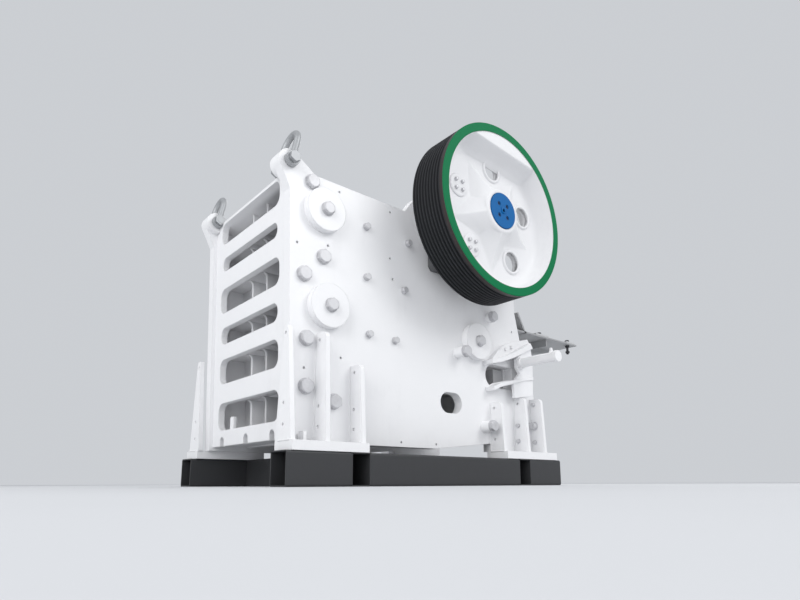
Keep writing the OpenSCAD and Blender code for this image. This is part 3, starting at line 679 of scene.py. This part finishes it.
    def finish(self, kind: Finish, body: str = "root", smooth: float = 35.0,
               instead_of: tuple[str, ...] = ()) -> None:
        """Makes the object.

        Args:
            kind: Its finish.
            body: The body that it rides on.
            smooth: Faces that meet at less than this angle, in degrees, are shaded as one.
            instead_of: CAD nodes that it stands for.
        """
        bmesh.ops.recalc_face_normals(self.shape, faces=self.shape.faces)
        for face in self.shape.faces:
            face.smooth = True
        for edge in self.shape.edges:
            edge.smooth = not edge.is_manifold or edge.calc_face_angle(0.0) < math.radians(smooth)
        mesh = bpy.data.meshes.new(self.name)
        self.shape.to_mesh(mesh)
        faces = len(self.shape.faces)
        self.shape.free()
        mesh.materials.append(finish_of(kind))
        thing = bpy.data.objects.new(self.name, mesh)
        bpy.context.scene.collection.objects.link(thing)
        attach(thing, body)
        if instead_of:
            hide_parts(*instead_of)
        low, high = ([round(pick(vert.co[axis] for vert in mesh.vertices), 3) for axis in range(3)]
                     for pick in (min, max))
        LOG.info("%s: %d faces on %s, from %s to %s", self.name, faces, body, low, high)


@dataclass
class Studio:
    """Camera, floor, backdrop and lamps."""

    camera_place: Triple = (3.707, -3.313, 0.0158)
    yaw: float = -0.8677
    pitch: float = 0.1809
    roll: float = -0.0035
    focal_px: float = 567.53
    frame_px: float = 800.0
    axis_below_px: float = 80.0
    sensor: float = 36.0
    floor_r: float = 60.0
    floor_colours: tuple[Colour, Colour] = ((0.56, 0.57, 0.59), (0.60, 0.61, 0.63))
    backdrop: Colour = (0.60, 0.62, 0.65)
    daylight: Colour = (0.95, 0.97, 1.0)
    ambient: float = 0.80
    aim: Triple = (0.0, 0.0, 1.3)
    # Name, place, length of the edges in metres and power in watts
    lamps: tuple[tuple[str, Triple, float, float], ...] = (
        ("front", (3.6, -8.6, 4.6), 6.0, 330.0),
        ("side", (8.5, 3.0, 7.0), 5.0, 370.0),
        ("back", (-6.5, 6.0, 6.5), 6.0, 400.0))

    def place(self, name: str, data: bpy.types.ID, spot: Triple, turn: Matrix) -> bpy.types.Object:
        """Adds a camera or a lamp to the scene.

        Args:
            name: Its name.
            data: The camera or lamp.
            spot: Where it stands.
            turn: Its turn, as a matrix of 4 by 4.

        Returns:
            Its object.
        """
        thing = bpy.data.objects.new(name, data)
        thing.matrix_world = Matrix.Translation(spot) @ turn
        bpy.context.scene.collection.objects.link(thing)
        return thing

    def camera(self) -> None:
        """Places the camera where the photographer stood."""
        data = bpy.data.cameras.new("camera")
        data.sensor_width = self.sensor
        data.lens = self.sensor * self.focal_px / self.frame_px
        data.shift_y = self.axis_below_px / self.frame_px
        data.clip_start = 0.01
        data.clip_end = 300.0
        ahead = Vector((math.sin(self.yaw) * math.cos(self.pitch),
                        math.cos(self.yaw) * math.cos(self.pitch), math.sin(self.pitch)))
        level = Vector((math.cos(self.yaw), -math.sin(self.yaw), 0.0))
        rise = level.cross(ahead)
        right = math.cos(self.roll) * level + math.sin(self.roll) * rise
        up = math.cos(self.roll) * rise - math.sin(self.roll) * level
        turn = Matrix((right, up, -ahead)).transposed().to_4x4()
        bpy.context.scene.camera = self.place("camera", data, self.camera_place, turn)

    def floor(self) -> None:
        """Lays the pale floor."""
        mesh = bpy.data.meshes.new("floor")
        shape = bmesh.new()
        bmesh.ops.create_circle(shape, cap_ends=True, segments=96, radius=self.floor_r)
        shape.to_mesh(mesh)
        shape.free()
        floor = bpy.data.objects.new("floor", mesh)
        bpy.context.scene.collection.objects.link(floor)
        graph = Graph("floor_pale")
        cloud = graph.noise(FLOOR_CLOUD)
        graph.set(Base_Color=graph.blend(cloud, *self.floor_colours), Roughness=0.75)
        mesh.materials.append(graph.material)

    def sky(self) -> None:
        """Sets the world: an even light, and the pale backdrop for the camera and for reflections."""
        world = bpy.data.worlds.new("studio")
        bpy.context.scene.world = world
        world.use_nodes = True
        tree = world.node_tree
        tree.nodes.clear()
        out, mix, light, seen, path, either = (tree.nodes.new("ShaderNode" + kind) for kind in (
            "OutputWorld", "MixShader", "Background", "Background", "LightPath", "Math"))
        for shader, colour, strength in ((light, self.daylight, self.ambient), (seen, self.backdrop, 1.0)):
            shader.inputs[0].default_value = (*colour, 1.0)
            shader.inputs[1].default_value = strength
        either.operation = "MAXIMUM"
        for start, end in ((path.outputs["Is Camera Ray"], either.inputs[0]),
                           (path.outputs["Is Glossy Ray"], either.inputs[1]),
                           (either.outputs[0], mix.inputs[0]), (light.outputs[0], mix.inputs[1]),
                           (seen.outputs[0], mix.inputs[2]), (mix.outputs[0], out.inputs[0])):
            tree.links.new(start, end)

    def light(self) -> None:
        """Hangs the square area lamps, which look at the machine's middle."""
        for name, spot, size, watts in self.lamps:
            data = bpy.data.lights.new(name, "AREA")
            data.size = size
            data.energy = watts
            look = Vector(self.aim) - Vector(spot)
            self.place(name, data, spot, look.to_track_quat("-Z", "Y").to_matrix().to_4x4())

    def build(self) -> None:
        """Sets up the whole studio."""
        self.camera()
        self.floor()
        self.sky()
        self.light()
        bpy.context.scene.view_settings.view_transform = "Standard"


@dataclass
class CadDress:
    """Gives every CAD node its finish."""

    by_finish: dict[Finish, tuple[str, ...]] = field(default_factory=lambda: {
        Finish.SKID: ("rail", "cross_tube"),
        Finish.WALL: ("front_wall",),
        Finish.DISC: ("cover_discs",),
        Finish.WHEEL: ("flywheel",),
        Finish.GREY: ("motor_bracket",),
        Finish.HOUSING: ("bearing_housing",),
        Finish.JAW: ("swing_jaw", "adjusting_wedge"),
        Finish.BLUE: ("hub_cover",),
        Finish.BOLTS: ("frame_bolts",),
        Finish.ZINC: ("cheek_bolts", "tension_rod"),
        Finish.SHACKLE: ("shackle",),
        Finish.SHAFT: ("eccentric_shaft",),
        Finish.MANGANESE: ("cheek_plates", "fixed_jaw_plate", "swing_jaw_plate", "toggle_plate"),
    })

    def kind(self, node: str) -> Finish:
        """The finish of a node, white enamel unless the list says another."""
        starts = {start: finish for finish, group in self.by_finish.items() for start in group}
        fitting = [start for start in starts if node.startswith(start)]
        return starts[max(fitting, key=len)] if fitting else Finish.WHITE

    def build(self, nodes: dict[str, bpy.types.Object]) -> None:
        """Puts the finishes on the nodes' material slots."""
        for name, thing in nodes.items():
            thing.data.materials.clear()
            thing.data.materials.append(finish_of(self.kind(name)))


@dataclass
class Feet:
    """Weld beads, tabs and bolts of the four feet."""

    # Distance and top of each gusset
    front: tuple[Point, ...] = ((0.040, 0.975), (0.283, 0.968), (0.555, 0.790))
    rear: tuple[Point, ...] = ((1.958, 0.668), (2.264, 0.730), (2.488, 0.740))
    gusset_t: float = 0.034
    reach: float = 0.137
    front_plate: Point = (0.112, 0.589)
    rear_plate: Point = (1.957, 2.560)
    bead_out: float = 0.002
    bead_end: float = 0.012
    hole_x: float = 0.696
    small_bolt: float = 0.030
    large_bolt: float = 0.058
    large_z: float = 0.505
    bolt_z: Point = (0.365, 0.495)
    below_top: float = 0.048
    # The tab's middle, half width, height above the base plate and corner, and its distances
    tab: tuple[float, ...] = (0.695, 0.030, 0.062, 0.012)
    tab_d: Point = (0.165, 0.187)

    def beads(self) -> None:
        """Welds the gussets and base plates to the side plates."""
        piece = Piece("foot_welds")
        for distance, top in (*self.front, *self.rear):
            for place in (along(distance) - self.bead_out, along(distance + self.gusset_t) + self.bead_out):
                foot = Vector((BODY_X, place, FOOT_Z))
                if distance > self.front_plate[0]:
                    piece.bead(foot, Vector((BODY_X, place, top - self.bead_end)))
                piece.bead(foot, Vector((BODY_X + self.reach, place, FOOT_Z)))
        for start, end in (self.front_plate, self.rear_plate):
            piece.bead(Vector((BODY_X, along(start), FOOT_Z)), Vector((BODY_X, along(end), FOOT_Z)))
        middle, half, height, corner = self.tab
        piece.panel(rounded(middle - half, middle + half, FOOT_Z - ROOTED, FOOT_Z + height, corner),
                    *self.tab_d)
        piece.mirrored()
        piece.finish(Finish.WHITE)

    def bolts(self) -> None:
        """Bolts the rear gussets."""
        piece = Piece("foot_bolts")
        middle, last = self.rear[1], self.rear[2]
        for distance, heights in ((middle[0], self.bolt_z),
                                  (last[0], (self.bolt_z[0], last[1] - self.below_top))):
            for height in heights:
                spot = Vector((self.hole_x, along(distance), height))
                piece.bolt(self.small_bolt, spot, AHEAD)
                piece.bolt(self.small_bolt, spot + BEHIND * self.gusset_t, -AHEAD)
        piece.bolt(self.large_bolt, Vector((self.hole_x, along(last[0]), self.large_z)), AHEAD, 0.1)
        piece.mirrored()
        piece.finish(Finish.ZINC)

    def build(self) -> None:
        """Builds all of it."""
        self.beads()
        self.bolts()


@dataclass
class FrontWall:
    """The cast front wall: a face with six windows, the inclined wall behind it, and their ribs."""

    half: float = 0.573
    face_t: float = 0.050
    low: float = 0.295
    top: float = 2.086
    window_w: float = 0.943
    window_r: float = 0.068
    first_window: float = 0.413
    heights: tuple[float, ...] = (0.203, 0.189, 0.130, 0.195, 0.110, 0.176)
    bars: tuple[float, ...] = (0.147, 0.119, 0.120, 0.142, 0.118, 0.0)
    trims: tuple[float, ...] = (0.0, 0.020, 0.040, 0.0, 0.060, 0.0)
    jaw_low: Point = (0.470, 0.300)
    jaw_top: Point = (0.355, 2.050)
    jaw_t: float = 0.060
    # How far the ribs reach into the walls at their ends
    into: float = 0.010
    level_t: float = 0.036
    # Heights of the lowest rib's edges at the face, above the wall's lower edge
    sill: Point = (0.060, 0.100)
    upright_x: float = 0.1125
    upright_t: float = 0.024
    upright_in: float = 0.095
    upright_arc: float = 0.034
    upright_foot: float = 0.080
    notches: tuple[float, ...] = (-0.40, 0.0, 0.384)
    notch_r: float = 0.034
    lug: Point = (0.054, 2.103)
    lug_r: float = 0.084
    lug_in: float = 0.5275
    lug_t: float = 0.2
    # The tab's middle, half width, height above the window's edge, corner, depth and thickness
    tab: tuple[float, ...] = (-0.28, 0.030, 0.095, 0.014, 0.022, 0.024)

    def face(self, height: float) -> float:
        """Distance of the leaning face at a height."""
        return WALL_FACE_D - (height - FOOT_Z) * math.tan(math.radians(WALL_LEAN))

    def jaw(self, height: float) -> float:
        """Distance of the seat of the fixed jaw plate at a height."""
        (low_d, low), (top_d, top) = self.jaw_low, self.jaw_top
        return low_d + (top_d - low_d) * (height - low) / (top - low)

    def room(self) -> Piece:
        """The space that the lugs need."""
        piece = Piece("room")
        for side in (-1, 1):
            middle = Vector((side * self.lug_in, along(self.lug[0]), self.lug[1]))
            piece.turned(cylinder(self.lug_r, 0.0, self.lug_t), middle, Vector((side, 0, 0)), 64)
        return piece

    def panes(self) -> Iterable[Triple]:
        """Lower edge, height and width of each window."""
        low = self.first_window
        for height, gap, trim in zip(self.heights, self.bars, self.trims):
            yield low, height, self.window_w - trim
            low += height + gap

    def front(self) -> Piece:
        """The face with its windows and notches."""
        piece = Piece("face")
        piece.slab([(self.face(height) + deep, height)
                    for deep, height in oblong(0.0, self.face_t, self.low, self.top)], self.half)
        holes = Piece("holes")
        for low, height, width in self.panes():
            corner = min(self.window_r, height / 2 - 0.001)
            holes.panel(rounded(-width / 2, width / 2, low, low + height, corner), 0.0, THROUGH)
        for middle in self.notches:
            arch = arc((middle, self.low + self.notch_r), self.notch_r, 0, 180)
            holes.panel([(middle + self.notch_r, self.low - ROOTED), *arch,
                         (middle - self.notch_r, self.low - ROOTED)], 0.0, THROUGH)
        piece.cut(holes)
        piece.cut(self.room())
        return piece

    def ledge(self) -> Piece:
        """The ledge that closes the wall at its top."""
        piece = Piece("ledge")
        top_d, top = self.jaw_top
        start = self.face(top) + self.into
        piece.slab(((start, top + 0.012), (top_d - self.jaw_t, top - 0.020), (top_d - 0.0005, top - 0.0005),
                    (top_d - 0.020, self.top), (start, self.top)), self.half)
        piece.cut(self.room())
        return piece

    def level(self, seat: float, low: float, high: float) -> list[Point]:
        """Outline of a level rib.

        Args:
            seat: Height of its lower face at the inclined wall.
            low: Height of its lower edge at the face.
            high: Height of its upper edge at the face.

        Returns:
            Its corners in order, as distance and height.
        """
        start, end = self.face(seat) + self.into, self.jaw(seat) - self.into
        return [(start, low), (end, seat), (end, seat + self.level_t), (start, high)]

    def upright(self, low: float, high: float) -> list[Point]:
        """Outline of an upright rib, whose front edge runs forward into the bar above in an arc.

        Args:
            low: Lower edge of its window.
            high: Upper edge of its window.

        Returns:
            Its corners in order, as distance and height.
        """
        swing = min(self.upright_arc, 0.4 * (high - low))
        top, foot = high + 0.002, low - self.upright_foot
        edge = arc((self.face(high) + self.upright_in - swing, top - swing), swing, 0, 90)
        return [(self.face(low) + self.upright_in, foot), *edge, (self.jaw(high) - self.into, top),
                (self.jaw(low) - self.into, foot)]

    def build(self) -> None:
        """Builds the wall."""
        piece = self.front()
        piece.add(self.ledge())
        low, high = self.jaw_low[1], self.jaw_top[1]
        piece.slab(((self.jaw(low) - self.jaw_t, low), (self.jaw(low), low), (self.jaw(high), high),
                    (self.jaw(high) - self.jaw_t, high)), self.half)
        for (bottom, height, _), gap in zip(self.panes(), self.bars):
            for x in (-self.upright_x, self.upright_x):
                piece.slab(self.upright(bottom, bottom + height), self.upright_t / 2, x)
            if gap:
                rib = bottom + height + gap / 2 - self.level_t / 2
                piece.slab(self.level(rib, rib, rib + self.level_t), self.half)
        piece.slab(self.level(low, *(self.low + height for height in self.sill)), self.half)
        middle, half, tall, corner, deep, thick = self.tab
        tab_d = self.face(self.first_window) + deep
        piece.panel(rounded(middle - half, middle + half, self.first_window - ROOTED,
                            self.first_window + tall, corner), tab_d, tab_d + thick)
        piece.finish(Finish.WALL, "root", 30.0, ("front_wall",))


@dataclass
class Flywheel:
    """One cast flywheel: rim with belt grooves, dished web, rib star, holes, pads and counterweight."""

    side: float = 1.0
    grooves: int = 9
    rim_r: float = 0.677
    band_r: float = BAND_R
    width: float = 0.315
    first_groove: float = 0.010
    groove_pitch: float = 0.030
    # Depth and height of a groove's corners
    groove: tuple[Point, ...] = ((0.0, 0.0), (0.020, 0.007), (0.020, 0.0125), (0.0, 0.0195))
    web: float = 0.168
    web_t: float = 0.046
    # The web's fall from the band in front and at its back, and its rise to the hub
    fall: tuple[Point, ...] = ((0.002, 0.290), (0.007, 0.255), (0.016, 0.222), (0.031, 0.196),
                               (0.052, 0.179), (0.080, 0.170))
    back_fall: tuple[Point, ...] = ((0.055, 0.100), (0.020, 0.050), (0.004, 0.010), (-0.004, 0.0))
    rise: tuple[Point, ...] = ((0.300, 0.0), (0.262, 0.003), (0.232, 0.013), (0.210, 0.032), (0.196, 0.058),
                               (0.188, 0.085), (0.181, 0.105), (0.172, 0.114), (0.160, 0.116))
    hub_r: float = 0.1413
    cover_back: float = 0.255
    shaft_r: float = 0.1105
    hole_ring: float = 0.392
    hole_r: float = 0.080
    # A hole's raised lip, outwards from the hole, and a pad in place of a hole, both above the web
    lip: tuple[Point, ...] = ((0.0, -0.02), (0.0, 0.008), (0.004, 0.012), (0.012, 0.013), (0.019, 0.009),
                              (0.024, 0.0), (0.026, -0.02), (0.0, -0.02))
    pad: tuple[Point, ...] = ((0, -0.01), (0.092, -0.01), (0.090, 0.006), (0.084, 0.011), (0.076, 0.012),
                              (0, 0.012))
    pad_t: float = 0.012
    pad_bolt: float = 0.026
    pad_bolt_ring: float = 0.047
    pattern: tuple[float, ...] = (88.0, 160.0, 232.0, 304.0, 16.0)
    pads: tuple[float, ...] = (160.0, 232.0)
    # Radius at a ridge and in a valley, and height above the web, of the star's rings
    star_rings: tuple[Triple, ...] = ((0.475, 0.262, -0.003), (0.330, 0.222, 0.034),
                                      (0.230, 0.196, 0.082), (0.176, 0.170, 0.113))
    star_points: int = 5
    star_turn: float = 52.0
    chord: float = 0.499
    chord_turn: float = 86.0
    cover_face: float = 0.290
    screw_ring: float = 0.066
    screw: tuple[Point, ...] = ((0, 0), (0.0165, 0), (0.0165, 0.0065), (0.015, 0.008), (0.008, 0.008),
                                (0.008, 0.003), (0, 0.003))
    centre: tuple[Point, ...] = ((0, 0), (0.027, 0), (0.027, 0.005), (0.024, 0.007), (0.014, 0.007),
                                 (0.012, 0.001), (0, 0.001))

    @property
    def label(self) -> str:
        """Name of the side."""
        return "right" if self.side > 0 else "left"

    @property
    def back(self) -> Vector:
        """Middle of the wheel's back, as on the right side."""
        return Vector((WHEEL_FACE_X - self.width, *SHAFT))

    def spot(self, ring: float, angle: float, height: float, corner: Point = (0.0, 0.0)) -> Vector:
        """A place on the wheel.

        Args:
            ring: Distance from the shaft's axis.
            angle: Direction in degrees from +Y towards +Z.
            height: Distance from the wheel's back.
            corner: Small offset along Y and Z.

        Returns:
            The place, as on the right side.
        """
        turn = math.radians(angle)
        return self.back + Vector((height, ring * math.cos(turn) + corner[0],
                                   ring * math.sin(turn) + corner[1]))

    def section(self) -> list[Point]:
        """The wheel's half section as pairs of radius and height above its back."""
        rim = [(self.rim_r - 0.002, 0.0), (self.rim_r, 0.003)]
        for number in range(self.grooves):
            foot = self.first_groove + number * self.groove_pitch
            rim += [(self.rim_r - deep, foot + height) for deep, height in self.groove]
        face = [(self.rim_r, self.width - 0.003), (self.rim_r - 0.003, self.width),
                (self.band_r + 0.002, self.width), (self.band_r, self.width - 0.002)]
        dish = [*((self.band_r - inward, height) for inward, height in self.fall),
                (self.band_r - 0.110, self.web),
                *((radius, self.web + height) for radius, height in self.rise)]
        hub = [(self.hub_r + 0.004, self.web + 0.115), (self.hub_r, self.web + 0.110),
               (self.hub_r, self.cover_back), (self.shaft_r, self.cover_back), (self.shaft_r, 0.020),
               (0.185, 0.020), (0.190, 0.030), (0.200, self.web - self.web_t - 0.012)]
        rear = [(0.225, self.web - self.web_t), (self.band_r - 0.100, self.web - self.web_t),
                *((self.band_r - inward, height) for inward, height in self.back_fall)]
        return rim + face + dish + hub + rear + [rim[0]]

    def finish(self, piece: Piece, kind: Finish, smooth: float = 35.0,
               instead_of: tuple[str, ...] = ()) -> None:
        """Brings a piece to the wheel's side and makes its object on the rotor.

        Args:
            piece: The piece, as on the right side.
            kind: Its finish.
            smooth: Angle under which its faces are shaded as one, in degrees.
            instead_of: CAD nodes that it stands for.
        """
        if self.side < 0:
            piece.flipped()
        piece.finish(kind, "rotor", smooth, instead_of)

    def casting(self) -> None:
        """Builds the casting with its holes."""
        piece = Piece("flywheel_casting_" + self.label)
        piece.turned(self.section(), self.back, OUT, 180)
        holes = Piece("holes")
        open_at = [angle for angle in self.pattern if angle not in self.pads]
        for angle in open_at:
            holes.turned(cylinder(self.hole_r, 0.0, THROUGH), self.spot(self.hole_ring, angle, 0.0), OUT, 48)
        piece.cut(holes)
        lip = [(self.hole_r + outward, height) for outward, height in self.lip]
        for angles, profile in ((open_at, lip), (self.pads, self.pad)):
            for angle in angles:
                piece.turned(profile, self.spot(self.hole_ring, angle, self.web), OUT, 48)
        piece.add(self.star())
        piece.add(self.counterweight())
        self.finish(piece, Finish.WHEEL, 40.0, ("flywheel_" + self.label,))

    def star(self) -> Piece:
        """The five ribs that run down from the hub, each with a sharp ridge."""
        piece = Piece("star")
        part = piece.shape
        bmesh.ops.create_circle(part, segments=2 * self.star_points, radius=1.0)
        between = 180.0 / self.star_points
        ring = list(part.verts)
        edges = list(part.edges)
        for step, (tip, valley, height) in enumerate(self.star_rings):
            if step:
                grown = bmesh.ops.extrude_edge_only(part, edges=edges)["geom"]
                ring = [item for item in grown if isinstance(item, bmesh.types.BMVert)]
                edges = [item for item in grown if isinstance(item, bmesh.types.BMEdge)
                         and all(vert in ring for vert in item.verts)]
            for vert in ring:
                turn = math.atan2(vert.co.y, vert.co.x)
                ridge = round((math.degrees(turn) - 90.0) / between) % 2 == 0
                size = tip if ridge else valley
                vert.co = Vector((size * math.cos(turn), size * math.sin(turn), self.web + height))
        ridges = [edge for edge in part.edges if abs(edge.verts[0].co.z - edge.verts[1].co.z) > 0.01]
        bmesh.ops.bevel(part, geom=ridges, offset=0.007, affect="EDGES", segments=3, profile=0.5,
                        material=-1)
        bmesh.ops.rotate(part, verts=part.verts, cent=(0, 0, 0),
                         matrix=Matrix.Rotation(math.radians(self.star_turn - 90.0), 3, "Z"))
        # The circle lies in X and Y, and the wheel in Y and Z
        swap = Matrix(((0, 0, 1, 0), (1, 0, 0, 0), (0, 1, 0, 0), (0, 0, 0, 1)))
        bmesh.ops.transform(part, matrix=Matrix.Translation(self.back) @ swap, verts=part.verts)
        return piece

    def counterweight(self) -> Piece:
        """The segment that fills the dish beyond a chord."""
        piece = Piece("counterweight")
        piece.turned(cylinder(self.band_r - 0.001, self.web - 0.01, self.width - 0.006), self.back, OUT, 180)
        beyond, span = 0.62, 1.4
        slope = ((beyond, self.web - 0.02), (self.chord - 0.105, self.web - 0.02),
                 (self.chord - 0.080, self.web + 0.006), (self.chord - 0.050, self.web + 0.030),
                 (self.chord - 0.026, self.web + 0.070), (self.chord - 0.006, self.width - 0.016),
                 (self.chord + 0.004, self.width - 0.006), (self.chord + 0.008, self.width),
                 (beyond, self.width))
        wedge = Piece("wedge")
        wedge.prism([(height, -span / 2, out) for out, height in slope], (0, span, 0))
        lean = Matrix.Rotation(math.radians(self.chord_turn - 90.0), 4, "X")
        bmesh.ops.transform(wedge.shape, matrix=Matrix.Translation(self.back) @ lean,
                            verts=wedge.shape.verts)
        piece.cut(wedge, "INTERSECT")
        return piece

    def fasteners(self) -> None:
        """Builds the pads' bolts, the cover's screws and the ring in its middle."""
        screws = Piece("cover_screws_" + self.label)
        middle = Piece("cover_centre_" + self.label)
        pads = Piece("pad_bolts_" + self.label)
        for angle, corner in zip(range(45, 360, 90), arc((0.0, 0.0), self.pad_bolt_ring, 45, 315, 90)):
            screws.turned(self.screw, self.spot(self.screw_ring, angle, self.cover_face - 0.0125), OUT, 24)
            for place in self.pads:
                spot = self.spot(self.hole_ring, place, self.web + self.pad_t, corner)
                pads.bolt(self.pad_bolt, spot, OUT)
        middle.turned(self.centre, self.spot(0.0, 0.0, self.cover_face - 0.001), OUT, 32)
        self.finish(screws, Finish.COVER_SCREW)
        self.finish(middle, Finish.BLUE)
        self.finish(pads, Finish.ZINC)

    def build(self) -> None:
        """Builds the wheel."""
        self.casting()
        self.fasteners()


@dataclass
class Adjustment:
    """The coil spring on the tension rod, and the welds of the cylinder brackets."""

    spring_front: float = 2.4113
    spring_l: float = 0.199
    coil_r: float = 0.057
    wire_r: float = 0.0125
    wire_sides: int = 12
    turns: float = 5.5
    steps_a_turn: int = 36
    rod_z: float = 0.600
    # Distances and heights of the welds' corners
    welds: tuple[tuple[Point, ...], ...] = (
        ((1.893, 0.976), (2.008, 1.004), (2.172, 1.062), (2.330, 1.134)),
        ((1.922, 0.760), (2.014, 0.800), (2.181, 0.842), (2.332, 0.884)),
        ((1.907, 0.787), (2.008, 0.833), (2.183, 0.874), (2.334, 0.912)))

    def spring(self) -> None:
        """Winds the spring."""
        piece = Piece("coil_spring")
        part = piece.shape
        steps = int(self.turns * self.steps_a_turn)
        ring = bmesh.ops.create_circle(part, segments=self.wire_sides, radius=self.wire_r)["verts"]
        edges = list({edge for vert in ring for edge in vert.link_edges})
        bmesh.ops.translate(part, verts=ring, vec=(self.coil_r, 0, 0))
        bmesh.ops.rotate(part, verts=ring, cent=(self.coil_r, 0, 0),
                         matrix=Matrix.Rotation(math.pi / 2, 3, "X"))
        travel = self.spring_l - 2 * self.wire_r
        bmesh.ops.translate(part, verts=ring, vec=(0, 0, self.wire_r))
        bmesh.ops.spin(part, geom=[*ring, *edges], cent=(0, 0, 0), axis=(0, 0, 1),
                       dvec=(0, 0, travel / steps), angle=math.tau * self.turns, steps=steps,
                       use_duplicate=False)
        ends = [edge for edge in part.edges if edge.is_boundary]
        bmesh.ops.holes_fill(part, edges=ends, sides=self.wire_sides)
        turn = BEHIND.to_track_quat("Z", "Y").to_matrix().to_4x4()
        bmesh.ops.transform(part, verts=part.verts,
                            matrix=Matrix.Translation((0, along(self.spring_front), self.rod_z)) @ turn)
        piece.finish(Finish.SPRING, smooth=60.0, instead_of=("return_spring",))

    def beads(self) -> None:
        """Welds the brackets' flanges to the side plates."""
        piece = Piece("bracket_welds")
        for line in self.welds:
            spots = [Vector((BODY_X, along(distance), height)) for distance, height in line]
            for start, end in zip(spots, spots[1:]):
                piece.bead(start, end)
        piece.mirrored()
        piece.finish(Finish.WHITE)

    def build(self) -> None:
        """Builds all of it."""
        self.spring()
        self.beads()


@dataclass
class MotorBase:
    """The motor bracket: a bent plate on three gussets, with slide rails and bolts."""

    half: float = 0.55
    top_z: float = 1.412
    plate_t: float = 0.014
    flange_d: float = 2.4115
    flange_t: float = 0.020
    depth: float = 0.285
    rear_d: float = 3.456
    lip_d: float = 2.500
    lip_h: float = 0.170
    gusset_x: float = 0.240
    gusset_t: float = 0.014
    # A gusset's toe behind the flange, the corners of its lower edge, and its rear end
    gusset_toe: float = 0.070
    gusset_low: tuple[Point, ...] = ((2.700, 0.210), (2.990, 0.105))
    gusset_end: Point = (0.030, 0.038)
    cross_d: float = 2.960
    cross_h: float = 0.085
    cross_in: float = 0.02
    # Distance and length of each rail, and half the length and half the width of its slots
    rails: tuple[Point, ...] = ((2.780, 0.200), (3.280, 0.140))
    rail_t: float = 0.016
    slot: Point = (0.110, 0.012)
    slot_x: float = 0.30
    bolt_x: float = 0.510
    bolt_r: float = 0.012
    hang: float = 0.105
    # Width over the flats and height of the nuts
    nut: Point = (0.036, 0.020)
    flange_bolt: float = 0.034
    flange_bolt_x: tuple[float, ...] = (0.12, 0.32, 0.48)
    flange_bolt_low: float = 0.245

    def plate(self) -> Piece:
        """The bent plate with the flange that it hangs on."""
        piece = Piece("motor_bracket_plate")
        top, low, lip = self.top_z, self.top_z - self.plate_t, self.lip_d
        piece.slab(((lip, top + self.lip_h - 0.010), (lip + 0.018, top + self.lip_h),
                    (lip + 0.112, top + 0.006), (lip + 0.122, top), (self.rear_d, top),
                    (self.rear_d, low), (lip + 0.112, low), (lip + 0.100, low + 0.008)), self.half)
        piece.slab(oblong(self.flange_d, self.flange_d + self.flange_t, top - self.depth, top - 0.004),
                   self.half)
        piece.slab(oblong(self.flange_d + 0.010, lip + 0.130, low, top - 0.001), self.half)
        return piece

    def ribs(self, piece: Piece) -> None:
        """Adds the gussets and the cross rib below the plate."""
        top, low = self.top_z - self.plate_t / 2, self.top_z - self.depth
        start, end = self.flange_d + self.flange_t / 2, self.rear_d - self.gusset_end[0]
        outline = [(start, low), (self.flange_d + self.gusset_toe, low),
                   *((distance, self.top_z - deep) for distance, deep in self.gusset_low),
                   (end, self.top_z - self.gusset_end[1]), (end, top), (start, top)]
        for x in (-self.gusset_x, 0.0, self.gusset_x):
            piece.slab(outline, self.gusset_t / 2, x)
        piece.slab(oblong(self.cross_d, self.cross_d + self.gusset_t, self.top_z - self.cross_h, top),
                   self.half - self.cross_in)

    def slides(self) -> None:
        """Lays the slotted slide rails on the plate."""
        piece = Piece("motor_slide_rails")
        slots = Piece("slots")
        long, wide = self.slot
        for start, length in self.rails:
            piece.slab(oblong(start, start + length, self.top_z, self.top_z + self.rail_t), self.half)
            middle = start + length / 2
            for x in (-self.slot_x, self.slot_x):
                slots.slab(oblong(middle - wide, middle + wide, self.top_z - 0.002, self.top_z + 0.03),
                           long, x)
        piece.cut(slots)
        piece.finish(Finish.SLIDE)

    def bolts(self) -> None:
        """Adds the bolts of the rails and of the flange."""
        piece = Piece("motor_base_bolts")
        across, nut_h = self.nut
        seat = self.top_z + self.rail_t - 0.001
        front, rear = (start + length / 2 for start, length in self.rails)
        for distance in (rear, front):
            piece.bolt(across, Vector((self.bolt_x, along(distance), seat)), UP)
        stud = Vector((self.bolt_x, along(rear), self.top_z - self.hang))
        piece.turned(((0, 0), (self.bolt_r - 0.002, 0), (self.bolt_r, 0.002),
                      (self.bolt_r, self.hang), (0, self.hang)), stud, UP, 24)
        for height in (0.012, self.hang - self.plate_t - nut_h):
            piece.hexagon(across, nut_h, stud + UP * height, UP)
        for x in self.flange_bolt_x:
            spot = Vector((x, along(self.flange_d + self.flange_t), self.top_z - self.flange_bolt_low))
            piece.bolt(self.flange_bolt, spot, BEHIND)
        piece.mirrored()
        piece.finish(Finish.DARK)

    def build(self) -> None:
        """Builds the bracket."""
        piece = self.plate()
        self.ribs(piece)
        piece.finish(Finish.GREY, "root", 30.0, ("motor_bracket",))
        self.slides()
        self.bolts()


def main() -> None:
    """Builds the studio, dresses the machine and adds its fine pieces."""
    logging.basicConfig(level=logging.INFO)
    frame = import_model()
    Studio().build()
    CadDress().build(frame["nodes"])
    LOG.info("dressed %d CAD nodes", len(frame["nodes"]))
    for assembly in (FrontWall(), Flywheel(), Flywheel(side=-1.0, grooves=0), Feet(), Adjustment(),
                     MotorBase()):
        assembly.build()


if __name__ == "__main__":
    main()
